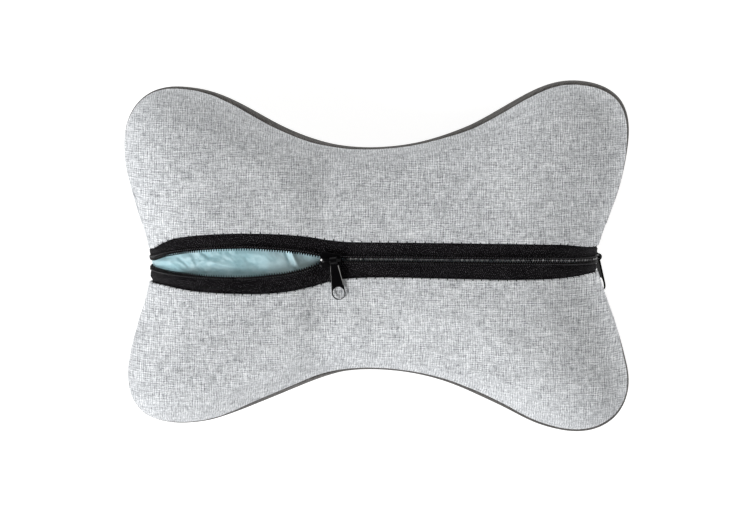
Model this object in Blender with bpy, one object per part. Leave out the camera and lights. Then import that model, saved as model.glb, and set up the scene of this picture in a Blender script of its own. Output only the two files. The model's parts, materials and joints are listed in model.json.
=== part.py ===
# Car neck pillow, bone-shaped, lying on its dark front face with the zipped back up.
# Frame: +X along the zip, +Y across it, +Z up; origin under the middle of the
# pillow, on the surface it lies on. Lengths below are in millimetres and become
# metres when a mesh is made.
import math

import bmesh
import bpy
import numpy as np
from mathutils import Matrix

MM = 0.001

# ---------------------------------------------------------------- dimensions
RIM_Z = 47.0            # height of the widest contour of the stuffed pillow
BULGE_TOP = 52.0        # how far the zipped back swells above that contour
BULGE_BOTTOM = 50.5     # how far the front swells below it, before the table flattens it
BULGE_SPAN = 55.0       # inward distance over which the swelling rounds off
WAIST_DROP = 7.0        # the back is lower over the waist than over the lobes
CREASE_X = -31.0        # soft valley in the back, where the pillow flexes
CREASE_DEPTH = 3.2
CREASE_WIDTH = 13.0

COVER_THICK = 1.2       # cover fabric with its lining
TAPE_DROP = 2.0         # tape face below the cover's outer face
TAPE_THICK = 0.8
TAPE_TUCK = 4.5         # tape hidden under the cover's folded edge
COIL_TOP = 0.6          # top of the coil above the cover's outer face
COIL_BOTTOM = -1.7
COIL_WIDTH = 2.5        # one row of coil
COIL_INNER = 0.15       # half the gap left between two closed rows
ZIP_END_DROP = 29.0     # the zip runs over both ends, this far below the rim
CUSHION_GAP = 1.2       # inner cushion below the cover's lining
BAND_DEPTH = 3.4        # inner cushion pressed down under the zip band
MOUTH_DEPTH = 0.8       # and a little further under the open mouth

SEAM_DIP_HALF = 21.0    # at both ends the seam dips under the zip, over this half width

SLIDER_X = -25.6        # middle of the main slider, along X
SLIDER_HALF = 6.2       # half its length
SIDE_SLIDER_DROP = 19.0  # middle of the end slider below the rim contour
CROWN_Z = 4.7           # middle of the crown bar above the cover's outer face
TAB_SKEW = 7.5          # the main pull tab leans this many degrees towards +X
SIDE_TAB_SKEW = 5.0     # the end one sags this many degrees
SIDE_TAB_LIFT = 14.0    # and stands off the end wall by this many
TAB_LENGTH = 23.9
SIDE_TAB_LENGTH = 20.5
TAB_NECK_W = 5.0
TAB_RING_R = 4.1
TAB_HOLE_R = 3.38
TAB_THICK = 1.1

# Outline of the widest contour, seen from above, anticlockwise from the +X notch.
OUTLINE = [
    (131.0, -3.0), (133.0, 9.5), (138.0, 24.0), (143.0, 38.0), (146.6, 52.0),
    (149.0, 66.5), (149.2, 80.5), (144.5, 93.0), (135.0, 100.5), (125.5, 103.4),
    (115.5, 104.2), (106.0, 103.0), (95.0, 99.2), (78.0, 90.2), (59.0, 80.0),
    (40.0, 72.3), (21.0, 67.4), (4.0, 65.4), (-12.0, 65.3), (-27.0, 67.0),
    (-46.0, 72.8), (-65.0, 81.8), (-84.0, 91.8), (-99.0, 97.6), (-113.0, 100.0),
    (-124.0, 100.0), (-134.0, 97.0), (-142.5, 90.0), (-148.0, 80.0), (-149.8, 67.0),
    (-148.6, 52.0), (-145.0, 38.0), (-141.0, 24.0), (-137.2, 10.5), (-135.0, -2.0),
    (-135.8, -18.0), (-139.8, -34.0), (-144.2, -50.0), (-147.4, -65.0), (-147.6, -77.0),
    (-143.5, -88.5), (-135.0, -96.0), (-124.0, -99.4), (-112.0, -99.8), (-97.0, -97.6),
    (-74.5, -89.6), (-55.0, -81.8), (-36.0, -74.4), (-17.0, -69.6), (2.0, -68.8),
    (21.0, -70.8), (40.0, -75.2), (59.0, -82.4), (78.0, -91.4), (95.0, -99.4),
    (107.0, -102.8), (119.0, -104.2), (131.0, -102.2), (141.5, -95.6), (148.3, -84.0),
    (149.6, -71.0), (147.0, -58.0), (143.2, -44.0), (138.6, -31.0), (133.6, -16.5),
]

# Height of the front/back seam above the rim contour, against the direction from the
# middle in degrees (with x/150 and y/100, so the lobes are near 45, 135, 225 and 315).
SEAM_LINE = [(0, 9.0), (8, 10.5), (15, 12.0), (25, 11.5), (35, 10.5), (45, 10.5), (55, 11.5), (62, 12.5),
             (70, 8.5), (77, 7.0), (92, 6.5), (105, 7.5), (114, 10.0), (120, 11.5), (126, 8.0), (132, 5.5),
             (141, 6.0), (150, 9.5), (160, 8.0), (172, 6.0), (180, 5.0), (200, 5.0), (214, 5.0),
             (223, 6.0), (234, 8.5), (245, 12.0), (270, 11.0), (285, 11.5), (300, 12.5), (309, 12.0),
             (318, 9.5), (326, 9.0), (336, 11.5), (347, 12.0), (360, 9.0)]

# Zip layout against x: middle line, half the mouth between the coil rows,
# and the folded edge of the cover above and below the tapes.
ZIP_MID = [(-134, -4.0), (-123, -2.8), (-107, -1.9), (-87, -1.6), (-61, -1.2),
           (-46, -0.9), (-32, -0.2), (-20, 0.2), (60, 0.2), (100, -0.2), (131, -1.5)]
ZIP_GAP = [(-134, 1.9), (-129, 3.0), (-123, 4.4), (-107, 6.4), (-87, 7.6), (-77, 7.7),
           (-61, 6.8), (-46, 5.0), (-37, 3.0), (-31.8, 1.45)]
EDGE_UP = [(-134, 4.5), (-126, 8.5), (-116, 12.5), (-96, 15.2), (-75, 16.0), (-55, 15.4),
           (-39, 13.9), (-27, 11.8), (-14, 10.8), (10, 10.7), (80, 10.2), (110, 9.2), (131, 6.3)]
EDGE_DOWN = [(-134, -15.2), (-126, -15.8), (-116, -17.3), (-106, -18.5), (-86, -19.6),
             (-70, -19.9), (-55, -19.0), (-39, -16.2), (-26, -12.6), (-14, -10.7), (5, -10.1),
             (50, -10.6), (80, -11.1), (100, -10.9), (115, -10.2), (131, -8.7)]


# ---------------------------------------------------------------- curves
def through(table, x):
    """Smooth curve through a table of (x, value), held level past its ends."""
    t = np.array(table, float)
    xs, ys = t[:, 0], t[:, 1]
    m = np.gradient(ys, xs)
    d = np.diff(ys) / np.diff(xs)
    for i in range(1, len(xs) - 1):
        m[i] = 0.0 if d[i - 1] * d[i] <= 0 else 2 * d[i - 1] * d[i] / (d[i - 1] + d[i])
    m[0] = m[-1] = 0.0
    x = np.clip(np.asarray(x, float), xs[0], xs[-1])
    i = np.clip(np.searchsorted(xs, x) - 1, 0, len(xs) - 2)
    h = xs[i + 1] - xs[i]
    u = (x - xs[i]) / h
    return ((2 * u ** 3 - 3 * u ** 2 + 1) * ys[i] + (u ** 3 - 2 * u ** 2 + u) * h * m[i]
            + (3 * u ** 2 - 2 * u ** 3) * ys[i + 1] + (u ** 3 - u ** 2) * h * m[i + 1])


def closed_spline(points, per=12):
    """Periodic cubic spline through the points, evenly respaced along its length."""
    p = np.array(points, float)
    n = len(p)
    h = np.linalg.norm(np.roll(p, -1, 0) - p, axis=1)
    a = np.zeros((n, n))
    b = np.zeros((n, 2))
    for i in range(n):
        h0, h1 = h[i - 1], h[i]
        a[i, i] += 2 * (h0 + h1)
        a[i, (i - 1) % n] += h0
        a[i, (i + 1) % n] += h1
        b[i] = 6 * ((p[(i + 1) % n] - p[i]) / h1 - (p[i] - p[i - 1]) / h0)
    m = np.linalg.solve(a, b)
    out = []
    for i in range(n):
        j = (i + 1) % n
        for k in range(per):
            t = h[i] * k / per
            r = h[i] - t
            out.append((m[i] * r ** 3 + m[j] * t ** 3) / (6 * h[i])
                       + (p[i] / h[i] - m[i] * h[i] / 6) * r
                       + (p[j] / h[i] - m[j] * h[i] / 6) * t)
    return np.array(out)


RIM = closed_spline(OUTLINE)
RIM_A, RIM_B = RIM, np.roll(RIM, -1, 0)


def smooth(lo, hi, x):
    u = np.clip((np.asarray(x, float) - lo) / (hi - lo), 0.0, 1.0)
    return u * u * (3 - 2 * u)


def inwardness(p):
    """Smooth distance from the rim contour: the true distance close to the rim,
    levelling off in the middle. It sums every rim segment's 1/r^3 influence."""
    p = np.asarray(p, float).reshape(-1, 2)
    out = np.empty(len(p))
    e = RIM_B - RIM_A
    le = np.linalg.norm(e, axis=1)
    t = e / le[:, None]
    for i in range(0, len(p), 2000):
        q = p[i:i + 2000]
        ra = RIM_A[None] - q[:, None]
        s0 = (ra * t[None]).sum(2)
        s1 = s0 + le[None]
        d2 = np.maximum((ra ** 2).sum(2) - s0 ** 2, 1e-6)
        f = (s1 / np.sqrt(s1 ** 2 + d2) - s0 / np.sqrt(s0 ** 2 + d2)) / d2
        out[i:i + 2000] = (0.5 * f.sum(1)) ** -0.5
    return out


def swell(p):
    """0 at the rim, 1 where the pillow is fully swollen; vertical at the rim."""
    q = np.clip(inwardness(p) / BULGE_SPAN, 0.0, 1.0)
    return np.sqrt(q * (2.0 - q))


def top_z(p):
    p = np.asarray(p, float).reshape(-1, 2)
    x = p[:, 0]
    s = swell(p)
    waist = WAIST_DROP * np.exp(-((x + 12.0) / 58.0) ** 2)
    crease = CREASE_DEPTH * np.exp(-((x - CREASE_X) / CREASE_WIDTH) ** 2)
    return RIM_Z + (BULGE_TOP - waist - crease) * s


def bottom_z(p):
    return np.maximum(RIM_Z - BULGE_BOTTOM * swell(p), 0.0)


# ---------------------------------------------------------------- the stuffed form
def meridians(n):
    """Matching points on the rim contour and on the pillow's spine."""
    seg = np.roll(RIM, -1, 0) - RIM
    length = np.concatenate([[0], np.cumsum(np.linalg.norm(seg, axis=1))])
    ring = np.vstack([RIM, RIM[:1]])
    west = np.argmin(np.abs(RIM[:, 1] + 2.0) + 1e3 * (RIM[:, 0] > 0))
    spine_l, spine_r = -104.0, 102.0
    rim, spine = [], []
    for half, (i0, i1) in enumerate(((0, west), (west, len(RIM)))):
        s = np.linspace(length[i0], length[i1], n + 1)[:-1]
        pts = np.stack([np.interp(s, length, ring[:, k]) for k in (0, 1)], 1)
        full = np.vstack([pts, ring[i1]])
        step = np.abs(np.diff(full[:, 0])) + 0.35 * np.abs(np.diff(full[:, 1]))
        u = np.concatenate([[0], np.cumsum(step)])[:-1] / step.sum()
        x = spine_r + (spine_l - spine_r) * u if half == 0 else spine_l + (spine_r - spine_l) * u
        rim.append(pts)
        spine.append(np.stack([x, through(ZIP_MID, x)], 1))
    return np.vstack(rim), np.vstack(spine)


def form(n, rows_top, rows_bottom):
    """Vertices and faces of the whole closed pillow form, outer face."""
    rim, spine = meridians(n)
    m = len(rim)
    verts, faces, index = [], [], {}

    def put(key, xyz):
        if key not in index:
            index[key] = len(verts)
            verts.append(xyz)
        return index[key]

    rows = ([(1, math.sin(0.5 * math.pi * i / rows_top)) for i in range(rows_top)] + [(0, 1.0)]
            + [(-1, math.sin(0.5 * math.pi * i / rows_bottom)) for i in range(rows_bottom - 1, -1, -1)])
    grid = []
    for side, s in rows:
        p = spine + (rim - spine) * s
        z = top_z(p) if side > 0 else bottom_z(p) if side < 0 else np.full(m, RIM_Z)
        line = []
        for k in range(m):
            if s == 0.0:            # both halves share the spine's points
                key = (side, min(k, (2 * n - k) % (2 * n)))
                kk = key[1]
                line.append(put(key, (p[kk, 0], p[kk, 1], z[kk])))
            else:
                line.append(put((side, round(s, 6), k), (p[k, 0], p[k, 1], z[k])))
        grid.append(line)
    for a, b in zip(grid[:-1], grid[1:]):
        for k in range(m):
            j = (k + 1) % m
            f = [a[k], b[k], b[j], a[j]]
            f = [v for i, v in enumerate(f) if v not in f[:i]]
            if len(f) > 2:
                faces.append(f)
    return np.array(verts), faces


def normals_of(verts, faces):
    nrm = np.zeros_like(verts)
    for f in faces:
        a, b, c = verts[f[0]], verts[f[1]], verts[f[2]]
        w = np.cross(b - a, c - a)
        if len(f) == 4:
            w = np.cross(verts[f[2]] - verts[f[0]], verts[f[3]] - verts[f[1]])
        for v in f:
            nrm[v] += w
    return nrm / np.linalg.norm(nrm, axis=1)[:, None]


# ---------------------------------------------------------------- the zip's own chart
class Chart:
    """The outer face around the zip: a = distance along the zip from its -X end,
    y = distance across it. Each y has its own section of the form."""

    def __init__(self, ys=np.arange(-32.0, 32.1, 2.0), n=500):
        self.ys = ys
        self.n = n
        self.holds = []
        self.pts = np.array([self.section(y) for y in ys])       # (ny, n, 3)
        ref = self.pts[np.argmin(np.abs(ys))]
        d = np.concatenate([[0], np.cumsum(np.linalg.norm(np.diff(ref, axis=0), axis=1))])
        self.length = d[-1]
        top = np.argmax(ref[:, 0]), np.argmin(ref[:, 0])
        self.a_left, self.a_right = d[top[1]], d[top[0]]
        self.x_ref, self.a_ref = ref[top[1]:top[0] + 1, 0], d[top[1]:top[0] + 1]

    def section(self, y):
        xs = np.linspace(-158, 158, 1265)
        seg = RIM_B - RIM_A
        cross = []
        for a, b in zip(RIM_A, RIM_B):
            if (a[1] - y) * (b[1] - y) <= 0 and a[1] != b[1]:
                cross.append(a[0] + (b[0] - a[0]) * (y - a[1]) / (b[1] - a[1]))
        xl, xr = min(cross), max(cross)
        mid, half = 0.5 * (xl + xr), 0.5 * (xr - xl)
        th = np.linspace(-0.5 * math.pi, 0.5 * math.pi, 401)
        x = mid + half * np.sin(th)
        x[0], x[-1] = xl, xr
        p = np.stack([x, np.full_like(x, y)], 1)
        z = top_z(p)
        z[0] = z[-1] = RIM_Z
        top = np.stack([x, np.full_like(x, y), z], 1)
        th = np.linspace(0.5 * math.pi, 0.2 * math.pi, 80)
        parts = []
        for sign, edge in ((-1, xl), (1, xr)):
            x = mid + sign * half * np.sin(th)
            x[0] = edge
            p = np.stack([x, np.full_like(x, y)], 1)
            z = RIM_Z - BULGE_BOTTOM * swell(p)
            z[0] = RIM_Z
            k = int(np.argmax(z < RIM_Z - ZIP_END_DROP))
            f = (z[k - 1] - (RIM_Z - ZIP_END_DROP)) / (z[k - 1] - z[k])
            w = np.stack([x, np.full_like(x, y), z], 1)[:k + 1]
            w[k] = w[k - 1] + (w[k] - w[k - 1]) * f
            parts.append(w[1:])
        line = np.vstack([parts[0][::-1], top, parts[1]])
        d = np.concatenate([[0], np.cumsum(np.linalg.norm(np.diff(line, axis=0), axis=1))])
        s = np.linspace(0, d[-1], self.n)
        return np.stack([np.interp(s, d, line[:, k]) for k in range(3)], 1)

    def a_of_x(self, x):
        return np.interp(x, self.x_ref, self.a_ref)

    def x_of_a(self, a):
        """Plan position along the zip, held at the rim on the end walls."""
        return np.interp(a, self.a_ref, self.x_ref)

    def point(self, a, y):
        a, y = np.broadcast_arrays(np.asarray(a, float), np.asarray(y, float))
        u = np.clip(a / self.length, 0, 1) * (self.n - 1)
        v = np.clip((y - self.ys[0]) / (self.ys[1] - self.ys[0]), 0, len(self.ys) - 1 - 1e-9)
        i, j = np.minimum(u.astype(int), self.n - 2), v.astype(int)
        fu, fv = (u - i)[..., None], (v - j)[..., None]
        q = self.pts
        return ((q[j, i] * (1 - fu) + q[j, i + 1] * fu) * (1 - fv)
                + (q[j + 1, i] * (1 - fu) + q[j + 1, i + 1] * fu) * fv)

    def frame(self, a, y):
        """Point, direction along the zip, across it and outwards."""
        e = 1.5
        p = self.point(a, y)
        t = self.point(np.asarray(a) + e, y) - self.point(np.asarray(a) - e, y)
        t /= np.linalg.norm(t, axis=-1, keepdims=True)
        b = self.point(a, np.asarray(y) + e) - self.point(a, np.asarray(y) - e)
        n = np.cross(t, b)
        n /= np.linalg.norm(n, axis=-1, keepdims=True)
        return p, t, np.cross(n, t), n

    def lift(self, a, y, h):
        """Points at height h over the outer face; level where a slider holds the zip flat."""
        p, t, b, n = self.frame(a, y)
        h = np.asarray(h, float)
        q = p + n * h[..., None]
        for a0, (o, ft, fb, fn) in self.holds:
            u, v = np.asarray(a, float) - a0, np.asarray(y, float) - float(zip_mid(a0))
            w = (1 - smooth(6.8, 11.5, np.abs(u))) * (1 - smooth(6.0, 9.5, np.abs(v)))
            flat = o + u[..., None] * ft + v[..., None] * fb + h[..., None] * fn
            q = q + (flat - q) * w[..., None]
        return q


ZIP = Chart()
A_MAIN = float(ZIP.a_of_x(SLIDER_X))
A_SIDE = ZIP.a_right + SIDE_SLIDER_DROP + 0.8


def zip_mid(a):
    return through(ZIP_MID, ZIP.x_of_a(a))


def zip_gap(a):
    """Half the opening between the coil rows, along the zip."""
    a = np.asarray(a, float)
    u = a - A_MAIN
    lens = through(ZIP_GAP, ZIP.x_of_a(a))
    inside = through([(-6.2, 1.45), (-5.0, 1.35), (-3.2, 0.80), (-1.6, 0.30), (0.2, 0.04), (2.5, 0.0)], u)
    w = A_SIDE - a
    end = through([(-12.0, 1.9), (-6.2, 1.45), (-5.0, 1.35), (-3.2, 0.80), (-1.6, 0.30), (0.2, 0.04), (2.5, 0.0)], w)
    return np.where(u < -6.2, lens, np.maximum(inside, end))


for a_hold in (A_MAIN, A_SIDE):
    ZIP.holds.append((a_hold, ZIP.frame(a_hold, zip_mid(a_hold))))


def zip_stations(step=6.0):
    """Places along the zip: closer together at the sliders and over the ends."""
    marks, a = [0.0], 0.0
    while a < ZIP.length - 0.4:
        near = min(abs(a - A_MAIN), abs(a - A_SIDE))
        wall = min(abs(a - ZIP.a_left), abs(a - ZIP.a_right))
        a += 1.5 if near < 8.5 else 2.6 if near < 14 else 4.0 if wall < 32 else step
        marks.append(min(a, ZIP.length))
    return np.array(marks)


# ---------------------------------------------------------------- Blender helpers
for ob in list(bpy.data.objects):
    bpy.data.objects.remove(ob, do_unlink=True)


def material(name, color, rough, metallic=0.0):
    m = bpy.data.materials.new(name)
    m.use_nodes = True
    b = m.node_tree.nodes["Principled BSDF"]
    b.inputs["Base Color"].default_value = (*color, 1.0)
    b.inputs["Roughness"].default_value = rough
    b.inputs["Metallic"].default_value = metallic
    return m


LINEN = material("grey_linen", (0.56, 0.57, 0.58), 0.9)
CHARCOAL = material("charcoal_linen", (0.065, 0.058, 0.054), 0.9)
TAPE = material("zip_tape", (0.012, 0.011, 0.013), 0.85)
COIL = material("zip_coil", (0.016, 0.015, 0.017), 0.45)
LACQUER = material("black_lacquer", (0.012, 0.012, 0.013), 0.25)
SATIN = material("aqua_lining", (0.42, 0.68, 0.73), 0.4)


def add(name, verts, faces, mat=None, smooth_angle=40.0):
    me = bpy.data.meshes.new(name)
    me.from_pydata([tuple(float(c) * MM for c in v) for v in verts], [], [list(map(int, f)) for f in faces])
    me.validate()
    bm = bmesh.new()
    bm.from_mesh(me)
    bmesh.ops.recalc_face_normals(bm, faces=bm.faces)
    bm.to_mesh(me)
    bm.free()
    ob = bpy.data.objects.new(name, me)
    bpy.context.scene.collection.objects.link(ob)
    if mat:
        me.materials.append(mat)
        me.shade_smooth()
        me.set_sharp_from_angle(angle=math.radians(smooth_angle))
    return ob


def as_tool(ob):
    ob.hide_render = True
    ob.display_type = 'WIRE'
    return ob


def cut(ob, tool, operation):
    m = ob.modifiers.new(operation.lower() + "_" + tool.name, 'BOOLEAN')
    m.operation = operation
    m.object = tool
    m.solver = 'EXACT'
    as_tool(tool)
    return m


def strip_solid(rows_outer, rows_inner):
    """Closed solid between two equal grids of points (rows along, points across)."""
    a, b = np.asarray(rows_outer), np.asarray(rows_inner)
    n, m = a.shape[:2]
    verts = np.vstack([a.reshape(-1, 3), b.reshape(-1, 3)])
    faces, o = [], n * m
    for i in range(n - 1):
        for j in range(m - 1):
            k = i * m + j
            faces.append((k, k + 1, k + m + 1, k + m))
            faces.append((o + k, o + k + m, o + k + m + 1, o + k + 1))
    for i in range(n - 1):
        for j in (0, m - 1):
            k = i * m + j
            f = (k, k + m, o + k + m, o + k)
            faces.append(f if j == 0 else f[::-1])
    for j in range(m - 1):
        for i in (0, n - 1):
            k = i * m + j
            f = (k, o + k, o + k + 1, k + 1)
            faces.append(f if i == 0 else f[::-1])
    return verts, faces


def extruded(profile, low, high, axes=(0, 1, 2)):
    """Prism of a closed outline in two of the axes, from low to high in the third."""
    n = len(profile)
    verts = []
    for h in (low, high):
        for p in profile:
            v = [0, 0, 0]
            v[axes[0]], v[axes[1]], v[axes[2]] = p[0], p[1], h
            verts.append(v)
    faces = [list(range(n))[::-1], [n + i for i in range(n)]]
    faces += [[i, (i + 1) % n, n + (i + 1) % n, n + i] for i in range(n)]
    return verts, faces


def arc(cx, cy, r, a0, a1, n):
    return [(cx + r * math.cos(math.radians(a0 + (a1 - a0) * i / n)),
             cy + r * math.sin(math.radians(a0 + (a1 - a0) * i / n))) for i in range(n + 1)]


# ---------------------------------------------------------------- cover panels
def seam_height(x, y):
    """Height of the seam between the two faces of the cover, over the plan."""
    x, y = np.asarray(x, float), np.asarray(y, float)
    base = through(SEAM_LINE, np.degrees(np.arctan2(y / 100.0, x / 150.0)) % 360.0)
    mid = np.where(x > 0, -1.5, -5.0)
    dip = np.exp(-(np.abs(y - mid) / SEAM_DIP_HALF) ** 4) * smooth(55, 100, np.abs(x))
    return RIM_Z + base - (base + ZIP_END_DROP) * dip


LOW_ROWS = list(np.linspace(-124.0, -24.0, 19))
BAND_ROWS = list(np.arange(-22.0, 17.0, 2.0))
HIGH_ROWS = list(np.linspace(18.0, 124.0, 20))


def seam_tool(name, above, low_edge=None, high_edge=None, lift=0.0):
    """Tool that keeps what lies above (or below) the seam, between two edges of the zip band."""
    xs = np.unique(np.concatenate([np.linspace(-168, 168, 49), [-134, -126, 131]]))
    rows = []
    for x in xs:
        if low_edge is not None:
            ys = [float(low_edge(x))] + HIGH_ROWS
        elif high_edge is not None:
            ys = LOW_ROWS + [float(high_edge(x))]
        else:
            ys = LOW_ROWS + BAND_ROWS + HIGH_ROWS
        rows.append([(x, y) for y in ys])
    g = np.array(rows)
    z = seam_height(g[..., 0], g[..., 1]) + lift
    far = 190.0 if above else -60.0
    near = np.concatenate([g, z[..., None]], 2)
    flat = np.concatenate([g, np.full(z.shape, far)[..., None]], 2)
    v, f = strip_solid(near, flat)
    return as_tool(add(name, v, f))


def cover_shell(name):
    v, f = form(31, 7, 6)
    n = normals_of(v, f)
    inner = v - n * COVER_THICK
    on_table = v[:, 2] < 1e-6
    inner[on_table, :2] = v[on_table, :2]
    inner[on_table, 2] = COVER_THICK
    k = len(v)
    return add(name, np.vstack([v, inner]), [list(q) for q in f] + [[k + i for i in q[::-1]] for q in f])


def orient_shell(ob):
    """Outer skin facing out, inner skin facing in."""
    bm = bmesh.new()
    bm.from_mesh(ob.data)
    bm.faces.ensure_lookup_table()
    half = len(bm.faces) // 2
    for lo, hi, outwards in ((0, half, True), (half, 2 * half, False)):
        part = [bm.faces[i] for i in range(lo, hi)]
        bmesh.ops.recalc_face_normals(bm, faces=part)
        vol = sum(f.calc_center_median().dot(f.normal) * f.calc_area() for f in part)
        if (vol > 0) != outwards:
            bmesh.ops.reverse_faces(bm, faces=part)
    bm.to_mesh(ob.data)
    bm.free()
    return ob


def edge_up(x):
    return through(EDGE_UP, x)


def edge_down(x):
    return through(EDGE_DOWN, x)


SHELL = as_tool(orient_shell(cover_shell("cover_form")))
SHELL_MESH = SHELL.data


def panel(name, mat, tool):
    ob = bpy.data.objects.new(name, SHELL_MESH.copy())
    bpy.context.scene.collection.objects.link(ob)
    ob.data.materials.clear()
    ob.data.materials.append(mat)
    ob.data.shade_smooth()
    cut(ob, tool, 'INTERSECT')
    return ob


panel("back_panel_upper", LINEN, seam_tool("keep_upper", True, low_edge=edge_up))
panel("back_panel_lower", LINEN, seam_tool("keep_lower", True, high_edge=edge_down))
panel("front_panel", CHARCOAL, seam_tool("keep_front", False, lift=-0.4))


# ---------------------------------------------------------------- zip tapes and coils
def tape(name, side):
    a = zip_stations()
    mid, gap = zip_mid(a), zip_gap(a)
    edge = edge_up(ZIP.x_of_a(a)) if side > 0 else edge_down(ZIP.x_of_a(a))
    inner = mid + side * (gap + COIL_INNER + 0.55)
    outer = edge + side * TAPE_TUCK
    rows = []
    for u in (0.0, 0.22, 0.5, 1.0):
        rows.append(inner + (outer - inner) * u)
    y = np.stack(rows, 1)
    aa = np.repeat(a[:, None], y.shape[1], 1)
    v, f = strip_solid(ZIP.lift(aa, y, -TAPE_DROP), ZIP.lift(aa, y, -TAPE_DROP - TAPE_THICK))
    return add(name, v, f, TAPE)


def coil(name, side):
    a = zip_stations()
    a = a[(a > 2.0) & (a < ZIP.length - 2.0)]
    near = zip_mid(a) + side * (zip_gap(a) + COIL_INNER)
    far = near + side * COIL_WIDTH
    bevel = 0.55
    y = np.stack([near, near + side * bevel, far - side * bevel, far], 1)
    h_out = np.array([COIL_TOP - bevel, COIL_TOP, COIL_TOP, COIL_TOP - bevel])
    aa = np.repeat(a[:, None], 4, 1)
    top = ZIP.lift(aa, y, np.repeat(h_out[None], len(a), 0))
    low = ZIP.lift(aa, y, COIL_BOTTOM)
    v, f = strip_solid(top, low)
    return add(name, v, f, COIL)


for side, word in ((1, "upper"), (-1, "lower")):
    tape("zip_tape_" + word, side)
    coil("zip_coil_" + word, side)


# ---------------------------------------------------------------- sliders and pull tabs
def local_frame(a):
    p, t, b, n = ZIP.frame(a, zip_mid(a))
    return p, t, b, n


def to_world(ob, p, t, b, n):
    m = Matrix(((t[0], b[0], n[0], p[0] * MM), (t[1], b[1], n[1], p[1] * MM),
                (t[2], b[2], n[2], p[2] * MM), (0, 0, 0, 1)))
    ob.matrix_world = m
    return ob


def slider(name, frame):
    """u runs along the zip with the broad nose at -u, v across, w outwards."""
    h = SLIDER_HALF
    plan = ([(-h, -3.2), (-h + 1.0, -4.6)] + [(-h + 2.4, -5.0), (0.0, -4.2), (h - 1.2, -3.6), (h, -2.6)]
            + [(h, 2.6), (h - 1.2, 3.6), (0.0, 4.2), (-h + 2.4, 5.0)] + [(-h + 1.0, 4.6), (-h, 3.2)])
    top = add(name, *extruded(plan, COIL_TOP + 0.3, COIL_TOP + 1.4), LACQUER)
    parts = [("floor", extruded(plan, -TAPE_DROP - TAPE_THICK - 1.4, -TAPE_DROP - TAPE_THICK - 0.3)),
             ("post", extruded([(-h + 0.3, -1.0), (-h + 1.2, -1.1), (-1.6, -0.12), (-1.6, 0.12),
                                (-h + 1.2, 1.1), (-h + 0.3, 1.0)], -TAPE_DROP - TAPE_THICK - 1.0, COIL_TOP + 1.0))]
    for s in (1, -1):
        rail = [(-h + 1.6, s * 4.55), (-h + 2.4, s * 5.0), (0.0, s * 4.2), (h - 1.2, s * 3.6),
                (h - 0.8, s * 3.05), (0.0, s * 3.3), (-h + 2.4, s * 4.3)]
        parts.append(("rail_%s" % ("left" if s > 0 else "right"),
                      extruded(rail, -TAPE_DROP + 0.45, COIL_TOP + 0.8)))
    w0 = COIL_TOP + 1.1
    arch = ([(-h + 1.6, w0), (-h + 1.6, CROWN_Z - 0.5), (-h + 2.6, CROWN_Z + 0.6), (h - 1.9, CROWN_Z + 0.6),
             (h - 0.5, CROWN_Z - 0.5), (h - 0.5, w0), (h - 1.6, w0), (h - 1.6, CROWN_Z - 0.9),
             (h - 2.0, CROWN_Z - 0.6), (-h + 3.1, CROWN_Z - 0.6), (-h + 2.8, CROWN_Z - 0.9), (-h + 2.8, w0)])
    parts.append(("crown", extruded(arch, -0.75, 0.75, (0, 2, 1))))
    to_world(top, *frame)
    for word, (v, f) in parts:
        piece = add(name + "_" + word, v, f)
        to_world(piece, *frame)
        cut(top, piece, 'UNION')
    top.data.set_sharp_from_angle(angle=math.radians(30))
    return top


def tab(name, length, pivot, forward, across, up):
    """Pull tab: rolled eye round the crown bar at the origin, ring at the far end.
    p runs down the tab, q across it, r through its thickness."""
    ring_p = length - TAB_RING_R
    half = 0.5 * TAB_NECK_W
    lead = math.degrees(math.asin((TAB_RING_R - half) / (ring_p - 4.0)))
    outline = ([(1.7, -half + 0.35), (3.0, -half)] + arc(ring_p, 0, TAB_RING_R, -90 - lead, 90 + lead, 26)
               + [(3.0, half), (1.7, half - 0.35)])
    body = add(name, *extruded(outline, -0.5 * TAB_THICK, 0.5 * TAB_THICK), LACQUER)
    hole = (arc(ring_p + 0.35, 0, TAB_HOLE_R, -90, 90, 14) + arc(ring_p - 0.35, 0, TAB_HOLE_R, 90, 270, 14))
    tools = [("eye", extruded(arc(0, 0, 2.15, 0, 345, 23), -2.15, 2.15, (0, 2, 1)), 'UNION'),
             ("eye_bore", extruded(arc(0, 0, 1.45, 0, 337.5, 15), -4.0, 4.0, (0, 2, 1)), 'DIFFERENCE'),
             ("ring_hole", extruded(hole, -3.0, 3.0), 'DIFFERENCE')]
    to_world(body, pivot, forward, across, up)
    for word, (v, f), how in tools:
        piece = add(name + "_" + word, v, f)
        to_world(piece, pivot, forward, across, up)
        cut(body, piece, how)
    body.data.set_sharp_from_angle(angle=math.radians(30))
    return body


def tab_axes(frame, droop, skew):
    """Directions of a tab that points across the zip (towards -Y), drooping by
    droop degrees below the slider's own plane and leaning by skew degrees along it."""
    p, t, b, n = frame
    k, d = math.radians(skew), math.radians(droop)
    flat = -b * math.cos(k) + t * math.sin(k)
    forward = flat * math.cos(d) - n * math.sin(d)
    across = t * math.cos(k) + b * math.sin(k)
    return forward, across, np.cross(forward, across)


def face_height(q):
    """Signed height of points above the cover's outer face, near the zip."""
    aa = np.linspace(0, ZIP.length, 700)
    out = []
    for x in np.atleast_2d(q):
        y = np.full_like(aa, np.clip(x[1], -31, 31))
        pts, t, b, n = ZIP.frame(aa, y)
        i = int(np.argmin(((pts - x) ** 2).sum(1)))
        out.append(float((x - pts[i]) @ n[i]))
    return np.array(out)


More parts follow.
